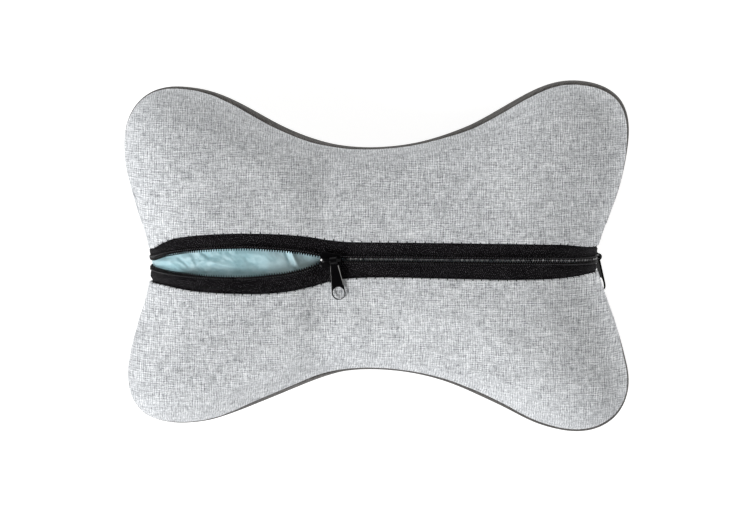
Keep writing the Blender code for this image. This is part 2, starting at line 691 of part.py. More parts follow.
def resting_droop(frame, pivot, skew, length, clear=0.55):
    """Largest droop, in half degrees, that leaves the tab clear of the cover."""
    best = 0.0
    for d in np.arange(-10.0, 40.0, 0.5):
        f, c, u = tab_axes(frame, d, skew)
        s = -np.sign(u @ frame[3]) * u
        probe = [pivot + f * p + c * q + s * 0.5 * TAB_THICK
                 for p in (8.0, 14.0, 0.85 * length, length) for q in (-3.4, 0.0, 3.4)]
        if face_height(np.array(probe)).min() < clear:
            break
        best = d
    return best


MAIN_FRAME = local_frame(A_MAIN)
p, t, b, n = local_frame(A_SIDE)
SIDE_FRAME = (p, -t, -b, n)                 # nose towards the end of the zip

slider("zip_slider", MAIN_FRAME)
slider("side_slider", SIDE_FRAME)

EYE_U = SLIDER_HALF - 3.9                    # the eye sits at the rear of the crown
SIDE_EYE_U = -0.6                            # on the end slider, further down it
MAIN_PIVOT = MAIN_FRAME[0] + MAIN_FRAME[1] * EYE_U + MAIN_FRAME[3] * CROWN_Z
SIDE_PIVOT = SIDE_FRAME[0] + SIDE_FRAME[1] * SIDE_EYE_U + SIDE_FRAME[3] * CROWN_Z
SIDE_REF = (SIDE_FRAME[0], -SIDE_FRAME[1], -SIDE_FRAME[2], SIDE_FRAME[3])
MAIN_DROOP = resting_droop(MAIN_FRAME, MAIN_PIVOT, TAB_SKEW, TAB_LENGTH)
SIDE_DROOP = -SIDE_TAB_LIFT
tab("zip_pull_tab", TAB_LENGTH, MAIN_PIVOT, *tab_axes(MAIN_FRAME, MAIN_DROOP, TAB_SKEW))
tab("side_pull_tab", SIDE_TAB_LENGTH, SIDE_PIVOT, *tab_axes(SIDE_REF, SIDE_DROOP, SIDE_TAB_SKEW))


# ---------------------------------------------------------------- inner cushion
def cushion():
    """Stuffed inner bag: the same form inside the cover, pressed down under the zip."""
    v, f = form(31, 7, 6)
    n = normals_of(v, f)
    x, y = v[:, 0], v[:, 1]
    mid = through(ZIP_MID, x)
    band = (1.0 - smooth(14.0, 34.0, np.abs(y - mid))) * (v[:, 2] > RIM_Z - 45)
    upper = smooth(RIM_Z - ZIP_END_DROP - 10, RIM_Z - ZIP_END_DROP + 4, v[:, 2])
    mouth = (1.0 - smooth(4.0, 12.0, np.abs(y - mid))) * smooth(-136, -126, x) * (1 - smooth(-44, -30, x))
    depth = (COVER_THICK + CUSHION_GAP + BAND_DEPTH * band * upper
             + MOUTH_DEPTH * mouth * smooth(RIM_Z, RIM_Z + 20, v[:, 2]))
    q = v - n * depth[:, None]
    low = v[:, 2] < 1e-6
    q[low, 2] = COVER_THICK + CUSHION_GAP
    q[:, 2] = np.maximum(q[:, 2], COVER_THICK + CUSHION_GAP)
    return add("inner_cushion", q, f, SATIN)


cushion()
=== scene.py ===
# Looks of the bone-shaped car neck pillow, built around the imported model.
# Lengths in this file are in millimetres until a mesh is made.
import json
import math

import bmesh
import bpy
import numpy as np
from mathutils import Matrix, Vector

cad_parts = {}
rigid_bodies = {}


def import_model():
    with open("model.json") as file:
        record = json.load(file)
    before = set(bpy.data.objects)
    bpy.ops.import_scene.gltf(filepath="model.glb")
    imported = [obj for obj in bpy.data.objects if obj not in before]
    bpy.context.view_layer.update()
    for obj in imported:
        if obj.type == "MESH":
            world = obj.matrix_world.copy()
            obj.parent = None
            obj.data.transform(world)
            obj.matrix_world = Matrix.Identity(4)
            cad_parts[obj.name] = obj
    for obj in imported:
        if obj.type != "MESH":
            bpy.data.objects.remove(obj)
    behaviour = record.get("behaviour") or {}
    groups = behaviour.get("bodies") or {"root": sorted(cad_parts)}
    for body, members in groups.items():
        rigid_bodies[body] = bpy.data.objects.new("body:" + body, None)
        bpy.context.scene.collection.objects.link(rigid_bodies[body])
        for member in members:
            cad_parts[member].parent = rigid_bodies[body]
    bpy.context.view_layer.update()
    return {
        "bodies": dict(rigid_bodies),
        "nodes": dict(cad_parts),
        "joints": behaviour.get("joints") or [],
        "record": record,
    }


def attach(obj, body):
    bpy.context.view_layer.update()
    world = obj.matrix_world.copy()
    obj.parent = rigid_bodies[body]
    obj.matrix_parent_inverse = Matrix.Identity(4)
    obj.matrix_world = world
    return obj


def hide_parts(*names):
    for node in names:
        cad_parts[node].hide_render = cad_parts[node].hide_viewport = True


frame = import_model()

MM = 0.001
NODES = frame["nodes"]

# ---------------------------------------------------------------- dimensions, as in the CAD
RIM_Z = 47.0
BULGE_TOP = 52.0
BULGE_BOTTOM = 50.5
BULGE_SPAN = 55.0
WAIST_DROP = 7.0
CREASE_X = -31.0
CREASE_DEPTH = 3.2
CREASE_WIDTH = 13.0
CREASE_MORE = 1.9             # the cover's own sag there, above the cushion's crease
COVER_THICK = 1.2
TAPE_DROP = 2.0
TAPE_THICK = 0.8
TAPE_TUCK = 4.5
COIL_INNER = 0.15
ZIP_END_DROP = 29.0
CUSHION_GAP = 1.2
BAND_DEPTH = 3.4
MOUTH_DEPTH = 0.8
SEAM_DIP_HALF = 21.0
SLIDER_X = -25.6
SLIDER_HALF = 6.2
SIDE_SLIDER_DROP = 19.0
CROWN_Z = 4.7
COIL_TOP = 0.6
TAB_SKEW, MAIN_DROOP = 7.5, 10.0
SIDE_TAB_SKEW, SIDE_DROOP, SIDE_EYE = 5.0, -14.0, 0.6
PITCH = 1.5                 # coil teeth

OUTLINE = [
    (131.0, -3.0), (133.0, 9.5), (138.0, 24.0), (143.0, 38.0), (146.6, 52.0),
    (149.0, 66.5), (149.2, 80.5), (144.5, 93.0), (135.0, 100.5), (125.5, 103.4),
    (115.5, 104.2), (106.0, 103.0), (95.0, 99.2), (78.0, 90.2), (59.0, 80.0),
    (40.0, 72.3), (21.0, 67.4), (4.0, 65.4), (-12.0, 65.3), (-27.0, 67.0),
    (-46.0, 72.8), (-65.0, 81.8), (-84.0, 91.8), (-99.0, 97.6), (-113.0, 100.0),
    (-124.0, 100.0), (-134.0, 97.0), (-142.5, 90.0), (-148.0, 80.0), (-149.8, 67.0),
    (-148.6, 52.0), (-145.0, 38.0), (-141.0, 24.0), (-137.2, 10.5), (-135.0, -2.0),
    (-135.8, -18.0), (-139.8, -34.0), (-144.2, -50.0), (-147.4, -65.0), (-147.6, -77.0),
    (-143.5, -88.5), (-135.0, -96.0), (-124.0, -99.4), (-112.0, -99.8), (-97.0, -97.6),
    (-74.5, -89.6), (-55.0, -81.8), (-36.0, -74.4), (-17.0, -69.6), (2.0, -68.8),
    (21.0, -70.8), (40.0, -75.2), (59.0, -82.4), (78.0, -91.4), (95.0, -99.4),
    (107.0, -102.8), (119.0, -104.2), (131.0, -102.2), (141.5, -95.6), (148.3, -84.0),
    (149.6, -71.0), (147.0, -58.0), (143.2, -44.0), (138.6, -31.0), (133.6, -16.5),
]
ZIP_MID = [(-134, -4.0), (-123, -2.8), (-107, -1.9), (-87, -1.6), (-61, -1.2),
           (-46, -0.9), (-32, -0.2), (-20, 0.2), (60, 0.2), (100, -0.2), (131, -1.5)]
ZIP_GAP = [(-134, 1.9), (-129, 3.0), (-123, 4.4), (-107, 6.4), (-87, 7.6), (-77, 7.7),
           (-61, 6.8), (-46, 5.0), (-37, 3.0), (-31.8, 1.45)]
EDGE_UP = [(-134, 4.5), (-126, 8.5), (-116, 12.5), (-96, 15.2), (-75, 16.0), (-55, 15.4),
           (-39, 13.9), (-27, 11.8), (-14, 10.8), (10, 10.7), (80, 10.2), (110, 9.2), (131, 6.3)]
EDGE_DOWN = [(-134, -15.2), (-126, -15.8), (-116, -17.3), (-106, -18.5), (-86, -19.6),
             (-70, -19.9), (-55, -19.0), (-39, -16.2), (-26, -12.6), (-14, -10.7), (5, -10.1),
             (50, -10.6), (80, -11.1), (100, -10.9), (115, -10.2), (131, -8.7)]


# how far over the rim the front fabric comes up, by angle round the outline
SEAM_LINE = [(0, 9.0), (8, 10.5), (15, 12.0), (25, 11.5), (35, 10.5), (45, 10.5), (55, 11.5), (62, 12.5),
             (70, 8.5), (77, 7.0), (92, 6.5), (105, 7.5), (114, 10.0), (120, 11.5), (126, 8.0), (132, 5.5),
             (141, 6.0), (150, 9.5), (160, 8.0), (172, 6.0), (180, 5.0), (200, 5.0), (214, 5.0),
             (223, 6.0), (234, 8.5), (245, 12.0), (270, 11.0), (285, 11.5), (300, 12.5), (309, 12.0),
             (318, 9.5), (326, 9.0), (336, 11.5), (347, 12.0), (360, 9.0)]


# ---------------------------------------------------------------- curves and the stuffed form
def through(table, x):
    t = np.array(table, float)
    xs, ys = t[:, 0], t[:, 1]
    m = np.gradient(ys, xs)
    d = np.diff(ys) / np.diff(xs)
    for i in range(1, len(xs) - 1):
        m[i] = 0.0 if d[i - 1] * d[i] <= 0 else 2 * d[i - 1] * d[i] / (d[i - 1] + d[i])
    m[0] = m[-1] = 0.0
    x = np.clip(np.asarray(x, float), xs[0], xs[-1])
    i = np.clip(np.searchsorted(xs, x) - 1, 0, len(xs) - 2)
    h = xs[i + 1] - xs[i]
    u = (x - xs[i]) / h
    return ((2 * u ** 3 - 3 * u ** 2 + 1) * ys[i] + (u ** 3 - 2 * u ** 2 + u) * h * m[i]
            + (3 * u ** 2 - 2 * u ** 3) * ys[i + 1] + (u ** 3 - u ** 2) * h * m[i + 1])


def closed_spline(points, per=12):
    p = np.array(points, float)
    n = len(p)
    h = np.linalg.norm(np.roll(p, -1, 0) - p, axis=1)
    a = np.zeros((n, n))
    b = np.zeros((n, 2))
    for i in range(n):
        h0, h1 = h[i - 1], h[i]
        a[i, i] += 2 * (h0 + h1)
        a[i, (i - 1) % n] += h0
        a[i, (i + 1) % n] += h1
        b[i] = 6 * ((p[(i + 1) % n] - p[i]) / h1 - (p[i] - p[i - 1]) / h0)
    m = np.linalg.solve(a, b)
    out = []
    for i in range(n):
        j = (i + 1) % n
        for k in range(per):
            t = h[i] * k / per
            r = h[i] - t
            out.append((m[i] * r ** 3 + m[j] * t ** 3) / (6 * h[i])
                       + (p[i] / h[i] - m[i] * h[i] / 6) * r
                       + (p[j] / h[i] - m[j] * h[i] / 6) * t)
    return np.array(out)


RIM = closed_spline(OUTLINE)
RIM_A, RIM_B = RIM, np.roll(RIM, -1, 0)


def smooth(lo, hi, x):
    u = np.clip((np.asarray(x, float) - lo) / (hi - lo), 0.0, 1.0)
    return u * u * (3 - 2 * u)


def inwardness(p):
    p = np.asarray(p, float).reshape(-1, 2)
    out = np.empty(len(p))
    e = RIM_B - RIM_A
    le = np.linalg.norm(e, axis=1)
    t = e / le[:, None]
    for i in range(0, len(p), 2000):
        q = p[i:i + 2000]
        ra = RIM_A[None] - q[:, None]
        s0 = (ra * t[None]).sum(2)
        s1 = s0 + le[None]
        d2 = np.maximum((ra ** 2).sum(2) - s0 ** 2, 1e-6)
        f = (s1 / np.sqrt(s1 ** 2 + d2) - s0 / np.sqrt(s0 ** 2 + d2)) / d2
        out[i:i + 2000] = (0.5 * f.sum(1)) ** -0.5
    return out


def swell(p):
    q = np.clip(inwardness(p) / BULGE_SPAN, 0.0, 1.0)
    return np.sqrt(q * (2.0 - q))


def top_of(x, s):
    waist = WAIST_DROP * np.exp(-((x + 12.0) / 58.0) ** 2)
    crease = CREASE_DEPTH * np.exp(-((x - CREASE_X) / CREASE_WIDTH) ** 2)
    return RIM_Z + (BULGE_TOP - waist - crease) * s


def bottom_of(s):
    return np.maximum(RIM_Z - BULGE_BOTTOM * s, 0.0)


def top_z(p):
    p = np.asarray(p, float).reshape(-1, 2)
    return top_of(p[:, 0], swell(p))


def meridians(n):
    seg = np.roll(RIM, -1, 0) - RIM
    length = np.concatenate([[0], np.cumsum(np.linalg.norm(seg, axis=1))])
    ring = np.vstack([RIM, RIM[:1]])
    west = np.argmin(np.abs(RIM[:, 1] + 2.0) + 1e3 * (RIM[:, 0] > 0))
    spine_l, spine_r = -104.0, 102.0
    rim, spine = [], []
    for half, (i0, i1) in enumerate(((0, west), (west, len(RIM)))):
        s = np.linspace(length[i0], length[i1], n + 1)[:-1]
        pts = np.stack([np.interp(s, length, ring[:, k]) for k in (0, 1)], 1)
        full = np.vstack([pts, ring[i1]])
        step = np.abs(np.diff(full[:, 0])) + 0.35 * np.abs(np.diff(full[:, 1]))
        u = np.concatenate([[0], np.cumsum(step)])[:-1] / step.sum()
        x = spine_r + (spine_l - spine_r) * u if half == 0 else spine_l + (spine_r - spine_l) * u
        rim.append(pts)
        spine.append(np.stack([x, through(ZIP_MID, x)], 1))
    return np.vstack(rim), np.vstack(spine)


class Chart:
    """The outer face around the zip: a = distance along the zip, y = across it."""

    def __init__(self, ys=np.arange(-32.0, 32.1, 2.0), n=500):
        self.ys = ys
        self.n = n
        self.holds = []
        self.pts = np.array([self.section(y) for y in ys])
        ref = self.pts[np.argmin(np.abs(ys))]
        d = np.concatenate([[0], np.cumsum(np.linalg.norm(np.diff(ref, axis=0), axis=1))])
        self.length = d[-1]
        top = np.argmax(ref[:, 0]), np.argmin(ref[:, 0])
        self.a_left, self.a_right = d[top[1]], d[top[0]]
        self.x_ref, self.a_ref = ref[top[1]:top[0] + 1, 0], d[top[1]:top[0] + 1]

    def section(self, y):
        cross = []
        for a, b in zip(RIM_A, RIM_B):
            if (a[1] - y) * (b[1] - y) <= 0 and a[1] != b[1]:
                cross.append(a[0] + (b[0] - a[0]) * (y - a[1]) / (b[1] - a[1]))
        xl, xr = min(cross), max(cross)
        mid, half = 0.5 * (xl + xr), 0.5 * (xr - xl)
        th = np.linspace(-0.5 * math.pi, 0.5 * math.pi, 401)
        x = mid + half * np.sin(th)
        x[0], x[-1] = xl, xr
        p = np.stack([x, np.full_like(x, y)], 1)
        z = top_z(p)
        z[0] = z[-1] = RIM_Z
        top = np.stack([x, np.full_like(x, y), z], 1)
        th = np.linspace(0.5 * math.pi, 0.2 * math.pi, 80)
        parts = []
        for sign, edge in ((-1, xl), (1, xr)):
            x = mid + sign * half * np.sin(th)
            x[0] = edge
            p = np.stack([x, np.full_like(x, y)], 1)
            z = RIM_Z - BULGE_BOTTOM * swell(p)
            z[0] = RIM_Z
            k = int(np.argmax(z < RIM_Z - ZIP_END_DROP))
            f = (z[k - 1] - (RIM_Z - ZIP_END_DROP)) / (z[k - 1] - z[k])
            w = np.stack([x, np.full_like(x, y), z], 1)[:k + 1]
            w[k] = w[k - 1] + (w[k] - w[k - 1]) * f
            parts.append(w[1:])
        line = np.vstack([parts[0][::-1], top, parts[1]])
        d = np.concatenate([[0], np.cumsum(np.linalg.norm(np.diff(line, axis=0), axis=1))])
        s = np.linspace(0, d[-1], self.n)
        return np.stack([np.interp(s, d, line[:, k]) for k in range(3)], 1)

    def a_of_x(self, x):
        return np.interp(x, self.x_ref, self.a_ref)

    def x_of_a(self, a):
        return np.interp(a, self.a_ref, self.x_ref)

    def point(self, a, y):
        a, y = np.broadcast_arrays(np.asarray(a, float), np.asarray(y, float))
        u = np.clip(a / self.length, 0, 1) * (self.n - 1)
        v = np.clip((y - self.ys[0]) / (self.ys[1] - self.ys[0]), 0, len(self.ys) - 1 - 1e-9)
        i, j = np.minimum(u.astype(int), self.n - 2), v.astype(int)
        fu, fv = (u - i)[..., None], (v - j)[..., None]
        q = self.pts
        return ((q[j, i] * (1 - fu) + q[j, i + 1] * fu) * (1 - fv)
                + (q[j + 1, i] * (1 - fu) + q[j + 1, i + 1] * fu) * fv)

    def frame(self, a, y):
        e = 1.5
        p = self.point(a, y)
        t = self.point(np.asarray(a) + e, y) - self.point(np.asarray(a) - e, y)
        t /= np.linalg.norm(t, axis=-1, keepdims=True)
        b = self.point(a, np.asarray(y) + e) - self.point(a, np.asarray(y) - e)
        n = np.cross(t, b)
        n /= np.linalg.norm(n, axis=-1, keepdims=True)
        return p, t, np.cross(n, t), n

    def lift(self, a, y, h):
        a, y, h = np.broadcast_arrays(np.asarray(a, float), np.asarray(y, float), np.asarray(h, float))
        p, t, b, n = self.frame(a, y)
        q = p + n * h[..., None]
        for a0, (o, ft, fb, fn) in self.holds:
            u, v = a - a0, y - float(zip_mid(a0))
            w = (1 - smooth(6.8, 11.5, np.abs(u))) * (1 - smooth(6.0, 9.5, np.abs(v)))
            flat = o + u[..., None] * ft + v[..., None] * fb + h[..., None] * fn
            q = q + (flat - q) * w[..., None]
        return q


ZIP = Chart()
A_MAIN = float(ZIP.a_of_x(SLIDER_X))
A_SIDE = ZIP.a_right + SIDE_SLIDER_DROP + 0.8


def zip_mid(a):
    return through(ZIP_MID, ZIP.x_of_a(a))


def zip_gap(a):
    a = np.asarray(a, float)
    u = a - A_MAIN
    lens = through(ZIP_GAP, ZIP.x_of_a(a))
    inside = through([(-6.2, 1.45), (-5.0, 1.35), (-3.2, 0.80), (-1.6, 0.30), (0.2, 0.04), (2.5, 0.0)], u)
    w = A_SIDE - a
    end = through([(-12.0, 1.9), (-6.2, 1.45), (-5.0, 1.35), (-3.2, 0.80), (-1.6, 0.30), (0.2, 0.04), (2.5, 0.0)], w)
    return np.where(u < -6.2, lens, np.maximum(inside, end))


def edge_of(a, side):
    return through(EDGE_UP if side > 0 else EDGE_DOWN, ZIP.x_of_a(a))


for a_hold in (A_MAIN, A_SIDE):
    ZIP.holds.append((a_hold, ZIP.frame(a_hold, zip_mid(a_hold))))


def seam_height(x, y):
    x, y = np.asarray(x, float), np.asarray(y, float)
    base = through(SEAM_LINE, np.degrees(np.arctan2(y / 100.0, x / 150.0)) % 360.0)
    mid = np.where(x > 0, -1.5, -5.0)
    dip = np.exp(-(np.abs(y - mid) / SEAM_DIP_HALF) ** 4) * smooth(55, 100, np.abs(x))
    return RIM_Z + base - (base + ZIP_END_DROP) * dip


# ---------------------------------------------------------------- the onion chart of the whole skin
HALF = 240
NK = 2 * HALF                       # meridians round the rim, from the +X notch, anticlockwise
NT = 96                             # rows from the spine to the rim, then as many below
RIMK, SPINEK = meridians(HALF)
TAUS = np.linspace(0.0, 2.0, 2 * NT + 1)
S_OF = np.sin(0.5 * math.pi * np.minimum(TAUS, 2.0 - TAUS))
_plan = SPINEK[:, None] + (RIMK - SPINEK)[:, None] * S_OF[None, :NT + 1, None]
_sw = swell(_plan.reshape(-1, 2)).reshape(NK, NT + 1)
_sw[:, NT] = 0.0
SKIN = np.zeros((NK, 2 * NT + 1, 3))
SKIN[:, :NT + 1, :2] = _plan
SKIN[:, NT:, :2] = _plan[:, ::-1]
SKIN[:, :NT + 1, 2] = top_of(_plan[..., 0], _sw)
SKIN[:, NT:, 2] = bottom_of(_sw[:, ::-1])
# the floor takes the bottom a little softly
_z = SKIN[:, NT:, 2]
SKIN[:, NT:, 2] = np.where(_z < 6.0, np.where(_z > 0, _z * _z / 12.0 + _z * 0.5, 0.0), _z)
_du = np.roll(SKIN, -1, 0) - np.roll(SKIN, 1, 0)
_dv = np.gradient(SKIN, axis=1)
SKIN_N = -np.cross(_du, _dv)
_len = np.linalg.norm(SKIN_N, axis=2, keepdims=True)
SKIN_N = SKIN_N / np.maximum(_len, 1e-9)
_out = np.array([0, 0, RIM_Z])
if ((SKIN_N[:, NT] * (SKIN[:, NT] - _out)).sum(1)).mean() < 0:
    SKIN_N = -SKIN_N
SKIN_N[:, :2] = (0, 0, 1)
SKIN_N[:, -3:] = (0, 0, -1)


def on_skin(k, tau, table=SKIN):
    k, tau = np.broadcast_arrays(np.asarray(k, float) % NK, np.clip(np.asarray(tau, float), 0.0, 2.0))
    r = tau * NT
    i, j = np.floor(k).astype(int) % NK, np.minimum(r.astype(int), 2 * NT - 1)
    fi, fj = (k - np.floor(k))[..., None], (r - j)[..., None]
    i1 = (i + 1) % NK
    return ((table[i, j] * (1 - fi) + table[i1, j] * fi) * (1 - fj)
            + (table[i, j + 1] * (1 - fi) + table[i1, j + 1] * fi) * fj)


def skin_normal(k, tau):
    n = on_skin(k, tau, SKIN_N)
    return n / np.maximum(np.linalg.norm(n, axis=-1, keepdims=True), 1e-9)


def find_on_skin(points, upper):
    """Meridian and row of points near the zip, by plan position and side of the rim."""
    ks = np.arange(0, HALF * 5 + 1) / 5.0 + (0 if upper else HALF)
    k0, f = np.floor(ks).astype(int) % NK, (ks - np.floor(ks))[:, None]
    rim = RIMK[k0] * (1 - f) + RIMK[(k0 + 1) % NK] * f
    spine = SPINEK[k0] * (1 - f) + SPINEK[(k0 + 1) % NK] * f
    d = rim - spine
    out = []
    for p in points:
        w = p[:2] - spine
        cross = d[:, 0] * w[:, 1] - d[:, 1] * w[:, 0]
        s = (w * d).sum(1) / (d ** 2).sum(1)
        ok = (cross[:-1] * cross[1:] <= 0) & (s[:-1] > -0.02) & (s[:-1] < 1.06)
        idx = np.nonzero(ok)[0]
        if len(idx) == 0:
            idx = [int(np.argmin(np.abs(cross) / np.linalg.norm(d, axis=1) + 50 * (np.abs(s - 0.5) > 0.6)))]
            idx[0] = min(idx[0], len(cross) - 2)
        i = idx[0]
        g = 0.0 if cross[i] == cross[i + 1] else cross[i] / (cross[i] - cross[i + 1])
        g = min(max(g, 0.0), 1.0)
        sv = min(max(s[i] + (s[i + 1] - s[i]) * g, 0.0), 1.0)
        t = 2 / math.pi * math.asin(sv)
        out.append((ks[i] + (ks[1] - ks[0]) * g, t if p[2] >= RIM_Z else 2.0 - t))
    return np.array(out)


def seam_rows():
    """Row of the seam on every meridian."""
    out = np.zeros(NK)
    z_s = seam_height(SKIN[..., 0], SKIN[..., 1])
    lo, hi = int(0.45 * NT), int(1.6 * NT)
    for k in range(NK):
        g = SKIN[k, lo:hi, 2] - z_s[k, lo:hi]
        i = int(np.argmax((g[:-1] > 0) & (g[1:] <= 0)))
        out[k] = (lo + i + g[i] / (g[i] - g[i + 1])) / NT
    return out


SEAM = seam_rows()
A_EDGE = np.linspace(0.0, ZIP.length, 560)
EDGES = {}
for side in (1, -1):
    pts = ZIP.point(A_EDGE, edge_of(A_EDGE, side))
    EDGES[side] = find_on_skin(pts, side > 0)
_ring = np.arange(NK)
_arc = np.concatenate([[0], np.cumsum(np.linalg.norm(np.diff(np.vstack([RIMK, RIMK[:1]]), axis=0), axis=1))])
_fix = np.zeros(NK)
for side in (1, -1):
    for end in (0, -1):
        kc, tc = EDGES[side][end]
        delta = tc - np.interp(kc % NK, np.arange(NK + 1), np.append(SEAM, SEAM[0]))
        away = np.abs(_arc[:-1] - np.interp(kc % NK, np.arange(NK + 1), _arc))
        away = np.minimum(away, _arc[-1] - away)
        _fix += delta * np.exp(-(away / 8.0) ** 2)
SEAM = SEAM + _fix


def seam_row(k):
    return np.interp(np.asarray(k, float) % NK, np.arange(NK + 1), np.append(SEAM, SEAM[0]))


# ---------------------------------------------------------------- Blender helpers
def link(ob):
    bpy.context.scene.collection.objects.link(ob)
    return ob


def mesh_object(name, verts, faces, mat=None, smooth_angle=None, attrs=None, doubles=0.0):
    me = bpy.data.meshes.new(name)
    me.from_pydata((np.asarray(verts, float) * MM).tolist(), [], [list(map(int, f)) for f in faces])
    for key, data in (attrs or {}).items():
        at = me.attributes.new(key, 'FLOAT_VECTOR', 'POINT')
        at.data.foreach_set("vector", np.asarray(data, np.float32).ravel())
    if doubles:
        bm = bmesh.new()
        bm.from_mesh(me)
        bmesh.ops.remove_doubles(bm, verts=bm.verts, dist=doubles * MM)
        bmesh.ops.recalc_face_normals(bm, faces=bm.faces)
        bm.to_mesh(me)
        bm.free()
    me.validate()
    me.shade_smooth()
    if smooth_angle is not None:
        me.set_sharp_from_angle(angle=math.radians(smooth_angle))
    ob = link(bpy.data.objects.new(name, me))
    if mat:
        me.materials.append(mat)
    return ob


def grid_faces(rows, cols, closed_rows=False, offset=0, flip=False):
    out = []
    for i in range(rows if closed_rows else rows - 1):
        i1 = (i + 1) % rows
        for j in range(cols - 1):
            f = (offset + i * cols + j, offset + i * cols + j + 1, offset + i1 * cols + j + 1, offset + i1 * cols + j)
            out.append(f[::-1] if flip else f)
    return out


def hashed(i, salt=0.0):
    """Repeatable values from 0 to 1 for whole numbers."""
    v = np.sin(np.asarray(i, float) * 12.9898 + salt * 78.233 + 4.123) * 43758.5453
    return v - np.floor(v)


def wander(x, step, salt=0.0):
    """Smooth repeatable noise along a line, -1 to 1."""
    u = np.asarray(x, float) / step
    i = np.floor(u)
    f = u - i
    f = f * f * (3 - 2 * f)
    return (hashed(i, salt) * (1 - f) + hashed(i + 1, salt) * f) * 2 - 1


def wander2(x, y, step, salt=0.0):
    u, v = np.asarray(x, float) / step, np.asarray(y, float) / step
    i, j = np.floor(u), np.floor(v)
    f, g = u - i, v - j
    f, g = f * f * (3 - 2 * f), g * g * (3 - 2 * g)

    def at(a, b):
        return hashed(a * 57.0 + b * 131.0, salt)
    return ((at(i, j) * (1 - f) + at(i + 1, j) * f) * (1 - g)
            + (at(i, j + 1) * (1 - f) + at(i + 1, j + 1) * f) * g) * 2 - 1


# ---------------------------------------------------------------- materials
class Shader:
    """Small builder for a material's node tree."""

    def __init__(self, name):
        self.mat = bpy.data.materials.new(name)
        self.mat.use_nodes = True
        self.tree = self.mat.node_tree
        self.bsdf = self.tree.nodes["Principled BSDF"]

    def node(self, kind, **values):
        n = self.tree.nodes.new(kind)
        for k, v in values.items():
            setattr(n, k, v)
        return n

    def put(self, node, key, value):
        sock = node.inputs[key]
        if isinstance(value, bpy.types.NodeSocket):
            self.tree.links.new(value, sock)
        else:
            sock.default_value = value

    def math(self, op, a, b=None, c=None, clamp=False):
        n = self.node("ShaderNodeMath", operation=op, use_clamp=clamp)
        for i, v in enumerate((a, b, c)):
            if v is not None:
                self.put(n, i, v)
        return n.outputs[0]

    def attribute(self, name):
        n = self.node("ShaderNodeAttribute", attribute_name=name, attribute_type='GEOMETRY')
        s = self.node("ShaderNodeSeparateXYZ")
        self.put(s, 0, n.outputs["Vector"])
        return s.outputs[0], s.outputs[1], s.outputs[2]

    def combine(self, x, y, z=0.0):
        n = self.node("ShaderNodeCombineXYZ")
        for i, v in enumerate((x, y, z)):
            self.put(n, i, v)
        return n.outputs[0]

    def noise(self, vector, scale=1.0, detail=2.0, rough=0.5, distortion=0.0):
        n = self.node("ShaderNodeTexNoise", noise_dimensions='3D')
        self.put(n, "Vector", vector)
        self.put(n, "Scale", scale)
        self.put(n, "Detail", detail)
        self.put(n, "Roughness", rough)
        self.put(n, "Distortion", distortion)
        return n.outputs["Fac"] if "Fac" in n.outputs else n.outputs[0]

    def ramp(self, fac, stops, mode='LINEAR'):
        n = self.node("ShaderNodeValToRGB")
        n.color_ramp.interpolation = mode
        el = n.color_ramp.elements
        while len(el) > 1:
            el.remove(el[0])
        el[0].position, el[0].color = stops[0][0], (*stops[0][1], 1.0)
        for pos, col in stops[1:]:
            e = el.new(pos)
            e.color = (*col, 1.0)
        self.put(n, 0, fac)
        return n.outputs[0]

    def mix(self, fac, a, b, blend='MIX'):
        n = self.node("ShaderNodeMix", data_type='RGBA', blend_type=blend)
        self.put(n, 0, fac)
        for i, v in ((6, a), (7, b)):
            self.put(n, i, v if isinstance(v, bpy.types.NodeSocket) else (*v, 1.0))
        return n.outputs[2]

    def bump(self, height, strength, distance, normal=None):
        n = self.node("ShaderNodeBump")
        self.put(n, "Height", height)
        self.put(n, "Strength", strength)
        self.put(n, "Distance", distance)
        if normal is not None:
            self.put(n, "Normal", normal)
        return n.outputs[0]

    def finish(self, color, rough, normal=None, **constants):
        self.put(self.bsdf, "Base Color", color if isinstance(color, bpy.types.NodeSocket) else (*color, 1.0))
        self.put(self.bsdf, "Roughness", rough)
        if normal is not None:
            self.put(self.bsdf, "Normal", normal)
        for k, v in constants.items():
            self.put(self.bsdf, k.replace("_", " "), v)
        return self.mat


